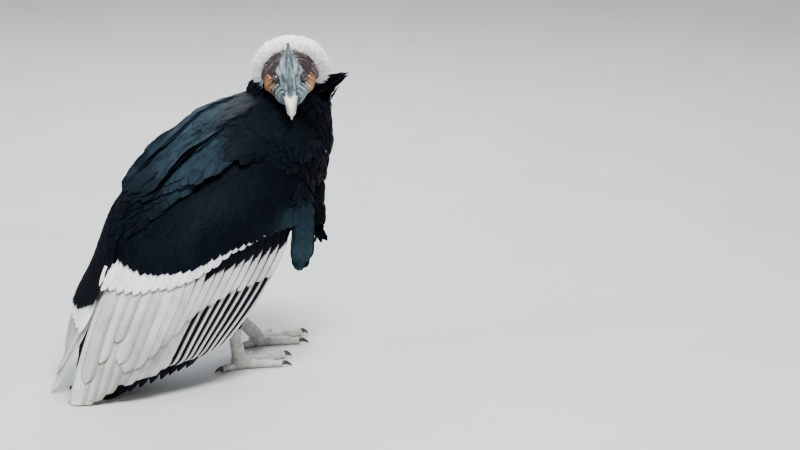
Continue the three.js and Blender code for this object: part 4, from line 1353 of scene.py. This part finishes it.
def build_comb():
    """The fleshy comb from the cere to the crown, thick at its base and thin along its crest."""
    steps, sides = 110, 64
    f = np.linspace(0, 1, steps + 1)[:, None]
    angle = np.linspace(0, 2 * np.pi, sides + 1)[None]
    y = mix(-70, 17, f) + 0 * angle
    base = mix(3, 44, np.sin(f * np.pi / 2))
    notch = 1.2 * np.sin(f * 26) + 0.8 * np.sin(f * 61 + 1)
    top = base + 4 + 37 * np.sin(np.pi * mix(0.06, 0.72, f)) + notch - 14 * step(0.9, 1.0, f)
    low = base - 16
    height = np.sin(angle) * 0.5 + 0.5
    z = mix(low, top, height)
    wide = mix(13.5, 13.0, f) * (0.5 + 0.5 * np.sin(np.pi * np.clip(f, 0.02, 0.98)) ** 0.5)
    lines = creased(height * 2.0 + f * 2, f * 6.0 - height * 1.5, 61)
    fine = creased(height * 4.5, f * 13.0, 62)
    wrinkle = mix(lines, fine, 0.4)
    narrow = mix(1.0, mix(0.16, 0.36, f), np.clip(height, 0, 1) ** 0.55)
    half = np.maximum(wide * narrow, 4.2 * step(0.6, 0.9, f))
    blunt = mix(1.0, 0.45, step(0.5, 0.9, f))
    across = np.sign(np.cos(angle)) * np.abs(np.cos(angle)) ** blunt
    x = across * half * (0.86 + 0.24 * wrinkle)
    rings = np.stack([x, y, z], -1)
    pale = np.array([0.22, 0.30, 0.325])
    dark = np.array([0.022, 0.022, 0.028])
    tip = step(50, 62, face_height(y, z))
    blotch = mix(0.4, 1.1, step(-0.5, 0.5, smooth_noise(f * 15, height * 5, 66)))
    # painted shade in the wrinkles, lighter on their ridges; the blotches are the comb's own mottling
    tint = pale * (mix(0.10, 1.5, wrinkle**1.4) * blotch)[..., None]
    tint = mix(tint, dark, tip[..., None])
    build_grid("comb_skin", to_head(rings), tint, COMB_SKIN, "comb_skin", "comb")


UPPER_BILL = [
    (0, -34, -6, 14, 15),
    (0, -54, -6, 14.5, 14.5),
    (0, -72, -8, 11.8, 13),
    (0, -86, -12, 8.0, 11.5),
    (0, -95, -19, 4.3, 8.0),
    (0, -96, -27, 2.2, 4.2),
    (0, -93, -34, 0.8, 1.2),
]
LOWER_BILL = [
    (0, -34, -24, 13, 7),
    (0, -58, -27, 11.5, 6),
    (0, -78, -29, 8.5, 4.5),
    (0, -87, -29, 5, 2.5),
]


def build_bill():
    steps, sides = 110, 72
    rings = loft_rings(UPPER_BILL, steps, sides)
    y, z, x = rings[..., 1], rings[..., 2], rings[..., 0]
    centre = rings[:, :-1].mean(1, keepdims=True)
    out = unit(rings - centre)
    nostril = np.exp(-(((y + 56) / 5.5) ** 2) - (((z + 1) / 2.6) ** 2)) * step(5, 10, np.abs(x))
    rim = np.exp(-(((y + 56) / 9) ** 2) - (((z + 1) / 5) ** 2)) * step(4, 9, np.abs(x))
    ridge = np.exp(-((x / 3.0) ** 2)) * step(-12, 0, z)
    rings = rings + out * (1.2 * rim - 5.0 * nostril + 1.0 * ridge)[..., None]
    grey = np.array([0.19, 0.27, 0.30])
    ivory = np.array([0.80, 0.77, 0.70])
    edge = y - 1.5 * np.abs(x)
    # painted shade in the wrinkles of the grey horn
    crease_shade = mix(0.45, 1.1, creased(x * 0.16, face_height(y, z) * 0.06, 91))
    tint = mix(grey * crease_shade[..., None], ivory, step(-75, -80, edge)[..., None])
    # painted shade in the hollow of the nostril
    tint = mix(tint, np.array([0.015, 0.015, 0.018]), np.clip(nostril * 1.6, 0, 1)[..., None])
    streak = 1 + 0.10 * np.sin(np.arctan2(z + 12, x) * 22 + smooth_noise(y * 0.15, x * 0.3, 8) * 3)
    tint = tint * streak[..., None]
    build_grid("bill_upper_horn", to_head(rings), tint, BILL_HORN, "bill_horn", "bill_upper")
    rings = loft_rings(LOWER_BILL, 60, 48)
    tint = mix(grey, ivory * 0.8, step(-66, -80, rings[..., 1])[..., None])
    build_grid("bill_lower_horn", to_head(rings), tint, BILL_HORN, "bill_horn", "bill_lower")


EYE_AT = (27, -25, 18)
EYE_RADIUS = 8.0
EYE_OUT = (0.80, -0.55, 0.22)
LID_WIDE = 8.6  # half width and half height of the lids' opening
LID_HIGH = 5.6


def build_eyes():
    eye = Nodes("eye_wet")
    streaks = eye.ramp(eye.noise(900.0, 3.0, eye.place()), (0.3, 0.6), (0.7, 1.2))
    streaked = eye.blend("MULTIPLY", 0.7, eye.tint(), streaks)
    wet = eye.finish(streaked, {"Roughness": 0.06, "Coat Weight": 1.0})
    for name, side in SIGN.items():
        f = np.linspace(0, np.pi, 33)[:, None]
        a = np.linspace(0, 2 * np.pi, 41)[None]
        out = unit(np.array(EYE_OUT) * [side, 1, 1])
        helper = unit(np.cross(out, [0, 0, 1.0]))
        other = np.cross(out, helper)
        ball = np.cos(f)[..., None] * out + (np.sin(f) * np.cos(a))[..., None] * helper
        ball = ball + (np.sin(f) * np.sin(a))[..., None] * other
        centre = np.array(EYE_AT) * [side, 1, 1]
        iris = np.array([0.045, 0.014, 0.008])
        pupil = np.array([0.004, 0.004, 0.004])
        outer = np.array([0.03, 0.012, 0.01])
        polar = f + 0 * a
        shade = mix(pupil, iris, step(0.34, 0.42, polar)[..., None])
        shade = mix(shade, outer, step(0.80, 0.95, polar)[..., None])
        ball = to_head(centre + ball * EYE_RADIUS)
        build_grid(f"eyeball_{name}", ball, shade, wet, "eye", f"eye_{name}")
        lids = Mesh()
        for half in (1, -1):
            stations = []
            for k in range(9):
                turn = math.pi * (k / 8)
                edge = math.cos(turn) * helper * LID_WIDE + other * LID_HIGH * math.sin(turn) * half
                depth = out * (4.6 - 0.020 * (LID_WIDE * math.cos(turn)) ** 2)
                at = centre + edge + depth
                stations.append((*at, 1.7, 1.7))
            rings = loft_rings(stations, 30, 14, tuple(out))
            lids.add_grid(to_head(rings), np.array([0.030, 0.024, 0.028]))
        lids.build(f"eyelids_{name}", FACE_SKIN)


RUFF_AT = np.array([3.0, 44, -14.0])
RUFF_RADIUS = 54.0
RUFF_TUBE = 19.0
RUFF_ARC = math.radians(252)
RUFF_BACK = np.array([0, 1.0, 0])
RUFF_CORE = np.array([0.985, 0.98, 0.975])  # colour of the down under the locks


def dome_depth(reach):
    """How far behind the collar's middle the dome lies, by the distance out from its axis."""
    return 16 + 22 * (1 - (reach / (RUFF_RADIUS + 8)) ** 2)


def ruff_places(count):
    """Places over the collar, with the way out of it, the way its locks lie, the way out from
    its axis, and the turns round the collar and round its tube."""
    ring = rng.uniform(-0.62 * np.pi, 0.55 * np.pi, count)
    turn = np.pi / 2 + RUFF_ARC * (rng.uniform(0, 1, count) - 0.5)
    share = np.abs(turn - np.pi / 2) / (RUFF_ARC / 2)
    tube = RUFF_TUBE * (1 - 0.42 * step(0.78, 1.0, share))
    out = np.stack([np.cos(turn), 0 * turn, np.sin(turn)], -1)
    normal = unit(out * np.cos(ring)[:, None] - RUFF_BACK * np.sin(ring)[:, None])
    place = RUFF_AT + out * RUFF_RADIUS + normal * tube[:, None]
    along = unit(out * np.sin(ring)[:, None] + RUFF_BACK * np.cos(ring)[:, None])
    return place, normal, along, out, turn, ring


def build_ruff():
    """A thick collar of soft white down, made of thousands of small curved locks."""
    n = 9800
    place, normal, along, out, turn, ring = ruff_places(n)
    dome = rng.uniform(0, 1, n) < 0.34
    reach = np.sqrt(rng.uniform(0, 1, n)) * (RUFF_RADIUS + 6)
    on_dome = RUFF_AT + out * reach[:, None] + RUFF_BACK * dome_depth(reach)[:, None]
    place = np.where(dome[:, None], on_dome, place)
    normal = np.where(dome[:, None], unit(RUFF_BACK + out * (reach / 60)[:, None]), normal)
    along = np.where(dome[:, None], out, along)
    stand = mix(0.30, 0.75, dome.astype(float))[:, None]
    along = unit(along + normal * stand + rng.normal(0, 0.26, (n, 3)))
    side = unit(np.cross(normal, along))
    up = unit(np.cross(along, side))
    length = np.clip(rng.normal(15, 2.5, n), 8, 22)
    v = np.linspace(0, 1, 4)
    bow = (0.22 * v - 0.42 * v**2)[None] * (1 + rng.normal(0, 0.4, (n, 1)))
    centre = place[:, None] + along[:, None] * (length[:, None] * (v - 0.3))[..., None]
    centre = centre + up[:, None] * (bow * length[:, None])[..., None]
    sway = rng.normal(0, 0.15, (n, 1)) * v**2 * length[:, None]
    centre = centre + side[:, None] * sway[..., None]
    width = rng.uniform(1.7, 3.4, n)
    half = width[:, None] * np.maximum(0.05, np.sin(np.pi * np.clip(v * 0.84 + 0.14, 0, 1)))[None]
    tint = np.array([0.99, 0.985, 0.98]) * rng.uniform(0.96, 1.0, (n, 1))
    root_uv = np.stack([(turn - turn.min()) / np.ptp(turn), (ring + 2.1) / 4.2], -1)
    root_uv = np.clip(root_uv, 0, 1)

    def add_locks(mesh, chosen):
        wide = half[chosen]

        def white(u, v):
            return np.broadcast_to(tint[chosen][:, None, None], (*u.shape, 3))

        add_vanes(
            mesh, to_head(centre[chosen]), (side[chosen] @ HEAD.T)[:, None],
            (up[chosen] @ HEAD.T)[:, None], wide, wide, 0.8, wide * 0.25, white, root_uv[chosen],
        )

    mesh = Mesh()
    add_locks(mesh, dome)
    mesh.build("ruff_dome_locks", RUFF_DOWN, sharp=80)
    mesh = Mesh()
    add_locks(mesh, ~dome)
    core = []
    for k in range(25):
        t = np.pi / 2 + RUFF_ARC * (k / 24 - 0.5)
        size = RUFF_TUBE * max(0.3, math.sin(math.pi * mix(0.08, 0.92, k / 24))) ** 0.35
        at = RUFF_AT + np.array([math.cos(t), 0, math.sin(t)]) * RUFF_RADIUS
        core.append((*at, size, size))

    def fluff(f, angle):
        rough = smooth_noise(f * 90, angle * 5, 12) * 0.05 + smooth_noise(f * 40, angle * 3, 7) * 0.06
        return 1 + rough

    rings = loft_rings(core, 150, 40, (0, 1, 0), bulge=fluff)
    mesh.add_grid(to_head(rings), RUFF_CORE)
    f = np.linspace(0.02, 1, 20)
    a = np.linspace(0, 2 * np.pi, 49)
    reach = f[:, None] * (RUFF_RADIUS + 4)
    depth = dome_depth(reach) - 2 + 0 * a
    shell = np.stack([reach * np.cos(a), depth, reach * np.sin(a)], -1) + RUFF_AT
    mesh.add_grid(to_head(shell), RUFF_CORE)
    mesh.build("ruff_down_locks", RUFF_DOWN, ("ruff",), sharp=80)


# Feet


def ground(turn, reach, height):
    a = math.radians(turn)
    return np.array([reach * math.sin(a), -reach * math.cos(a), height])


def toe_bulge(toe):
    """Scutes across the top of the toe, and soft pads under its joints."""

    def bulge(f, angle):
        top = np.clip(np.cos(angle), 0, 1) ** 0.5
        scutes = np.abs(np.sin(f * np.pi * toe["length"] / 7.0)) ** 0.45
        pads = np.clip(-np.cos(angle), 0, 1) * 0.08 * np.cos(f * np.pi * 6)
        return 1 + 0.075 * top * (scutes - 0.5) + pads

    return bulge


def build_foot(leg):
    name = leg["name"]
    fx, fy = leg["foot"]
    home = np.array([fx, fy, 0.0])
    ax, ay, az = leg["ankle"]
    mesh = Mesh()
    pale = np.array([0.50, 0.52, 0.47])
    shin = [
        (0, 0, 7, 15, 16),
        (0, 0, 20, TARSUS_RADIUS, TARSUS_RADIUS + 1),
        (mix(0, ax - fx, 0.55), mix(0, ay - fy, 0.55), az * 0.58, TARSUS_RADIUS - 1, TARSUS_RADIUS),
        (ax - fx, ay - fy, az, TARSUS_RADIUS + 2, TARSUS_RADIUS + 2),
    ]

    def shin_bulge(f, angle):
        front = np.clip(-np.sin(angle), 0, 1) ** 0.5
        plates = np.abs(np.sin(f * np.pi * 13)) ** 0.4
        return 1 + 0.06 * front * (plates - 0.5)

    rings = loft_rings(shin, 90, 48, bulge=shin_bulge) + home
    mesh.add_grid(rings, pale)
    f = np.linspace(0.02, math.pi - 0.02, 25)[:, None]
    a = np.linspace(0, 2 * np.pi, 33)[None]
    ball = np.stack([np.sin(f) * np.cos(a), np.sin(f) * np.sin(a), np.cos(f) + 0 * a], -1) * 17
    ball = ball + [0, 0, 14.5] + home
    mesh.add_grid(ball, pale * 0.95)
    for toe in TOES:
        stations = []
        for i in range(8):
            g = i / 7
            radius = mix(toe["radius"], toe["radius"] * 0.72, g) * (1 + 0.09 * math.cos(g * math.pi * 6))
            at = ground(toe["turn"], g * toe["length"], radius - 0.7)
            stations.append((*at, radius, radius))
        rings = loft_rings(stations, 110, 40, (0, 0, 1), bulge=toe_bulge(toe)) + home
        # the toes darker where they lie within 8 mm of the floor
        darker_near_floor = mix(0.8, 1.05, step(0, 8, rings[..., 2]))[..., None]
        mesh.add_grid(rings, pale * darker_near_floor)
    for part in mesh.points:
        part[:, 2] = np.maximum(part[:, 2], 0.0)
    mesh.build(f"foot_skin_{name}", LEG_SKIN, (f"foot_{name}",))
    for i, toe in enumerate(TOES):
        r = toe["radius"] * 0.62
        base = toe["length"] - 5
        stations = [
            (*ground(toe["turn"], base, toe["radius"] * 0.72), r, r * 0.86),
            (*ground(toe["turn"], base + toe["claw"] * 0.42, toe["radius"] * 0.86), r * 0.8, r * 0.62),
            (*ground(toe["turn"], base + toe["claw"] * 0.82, toe["radius"] * 0.5), r * 0.42, r * 0.32),
            (*ground(toe["turn"], base + toe["claw"], 1.2), 0.8, 0.7),
        ]
        rings = loft_rings(stations, 40, 28, (0, 0, 1)) + home
        f = np.linspace(0, 1, 41)[:, None, None]
        tint = mix(np.array([0.10, 0.10, 0.09]), np.array([0.02, 0.02, 0.02]), np.minimum(1, f * 3))
        tint = np.broadcast_to(tint, rings.shape)
        claw = f"{name}_{i + 1}"
        build_grid(f"claw_horn_{claw}", rings, tint, CLAW_HORN, "claw_horn", f"claw_{claw}")


# Stage: floor, light and camera

CAMERA_YAW = math.radians(48)
CAMERA_RISE = math.radians(14)
CAMERA_FAR = 10.0
SENSOR = 36.0
VIEW_WIDTH = 1.6  # metres seen across the frame at the bird
AIM_RIGHT = 0.358
AIM_UP = 0.276


def build_stage():
    floor_mesh = bpy.data.meshes.new("floor")
    size = 30.0
    floor_mesh.from_pydata(
        [(-size, -size, 0), (size, -size, 0), (size, size, 0), (-size, size, 0)], [], [(0, 1, 2, 3)]
    )
    floor = bpy.data.objects.new("floor", floor_mesh)
    bpy.context.scene.collection.objects.link(floor)
    plain = Nodes("pale_floor")
    grain = plain.noise(3.0, 4.0, plain.place())
    tone = plain.ramp(grain, (0.3, (0.54, 0.55, 0.54)), (0.7, (0.58, 0.59, 0.58)))
    floor_mesh.materials.append(plain.finish(tone, {"Roughness": 0.75}))
    world = bpy.data.worlds.new("studio")
    bpy.context.scene.world = world
    world.use_nodes = True
    world.node_tree.nodes["Background"].inputs[0].default_value = (0.80, 0.84, 0.86, 1)
    world.node_tree.nodes["Background"].inputs[1].default_value = 0.62


def add_area(name, place, target, size, power, colour=(1, 1, 1)):
    light = bpy.data.lights.new(name, "AREA")
    light.shape = "DISK"
    light.size = size
    light.energy = power
    light.color = colour
    item = bpy.data.objects.new(name, light)
    item.location = place
    item.rotation_euler = (Vector(target) - Vector(place)).to_track_quat("-Z", "Y").to_euler()
    bpy.context.scene.collection.objects.link(item)


def build_camera():
    right = Vector((-math.cos(CAMERA_YAW), -math.sin(CAMERA_YAW), 0))
    flat = Vector((-math.sin(CAMERA_YAW), math.cos(CAMERA_YAW), 0))
    back = flat * math.cos(CAMERA_RISE) + Vector((0, 0, math.sin(CAMERA_RISE)))
    up = back.cross(right)
    aim = Vector((ORIGIN_SHIFT * MM, 0, 0)) + right * AIM_RIGHT + up * AIM_UP
    data = bpy.data.cameras.new("camera")
    data.sensor_width = SENSOR
    data.lens = SENSOR * CAMERA_FAR / VIEW_WIDTH
    data.clip_end = 200
    camera = bpy.data.objects.new("camera", data)
    camera.matrix_world = Matrix.Translation(aim + back * CAMERA_FAR) @ Matrix(
        (right, up, back)
    ).transposed().to_4x4()
    bpy.context.scene.collection.objects.link(camera)
    bpy.context.scene.camera = camera
    middle = (ORIGIN_SHIFT * MM, 0.05, 0.3)
    key = Vector(middle) + right * 0.6 + back * 1.6 + Vector((0, 0, 3.0))
    add_area("key_light", key, middle, 1.6, 310, (1.0, 0.985, 0.965))
    fill = Vector(middle) - right * 3.0 + back * 1.2 + Vector((0, 0, 1.6))
    add_area("fill_light", fill, middle, 2.5, 70, (0.85, 0.93, 1.0))
    rim = Vector(middle) - back * 2.6 + Vector((0, 0, 2.6))
    add_area("rim_light", rim, middle, 2.0, 95, (0.9, 0.95, 1.0))


build_skin()
build_trunk_coat()
build_thigh_coat()
build_mantle_coat()
for wing_name in ("right", "left"):
    build_covert_coat(wing_name)
    build_flight(wing_name)
build_tail()
build_head()
build_comb()
build_bill()
build_eyes()
build_ruff()
for one_leg in LEGS:
    build_foot(one_leg)
build_stage()
build_camera()
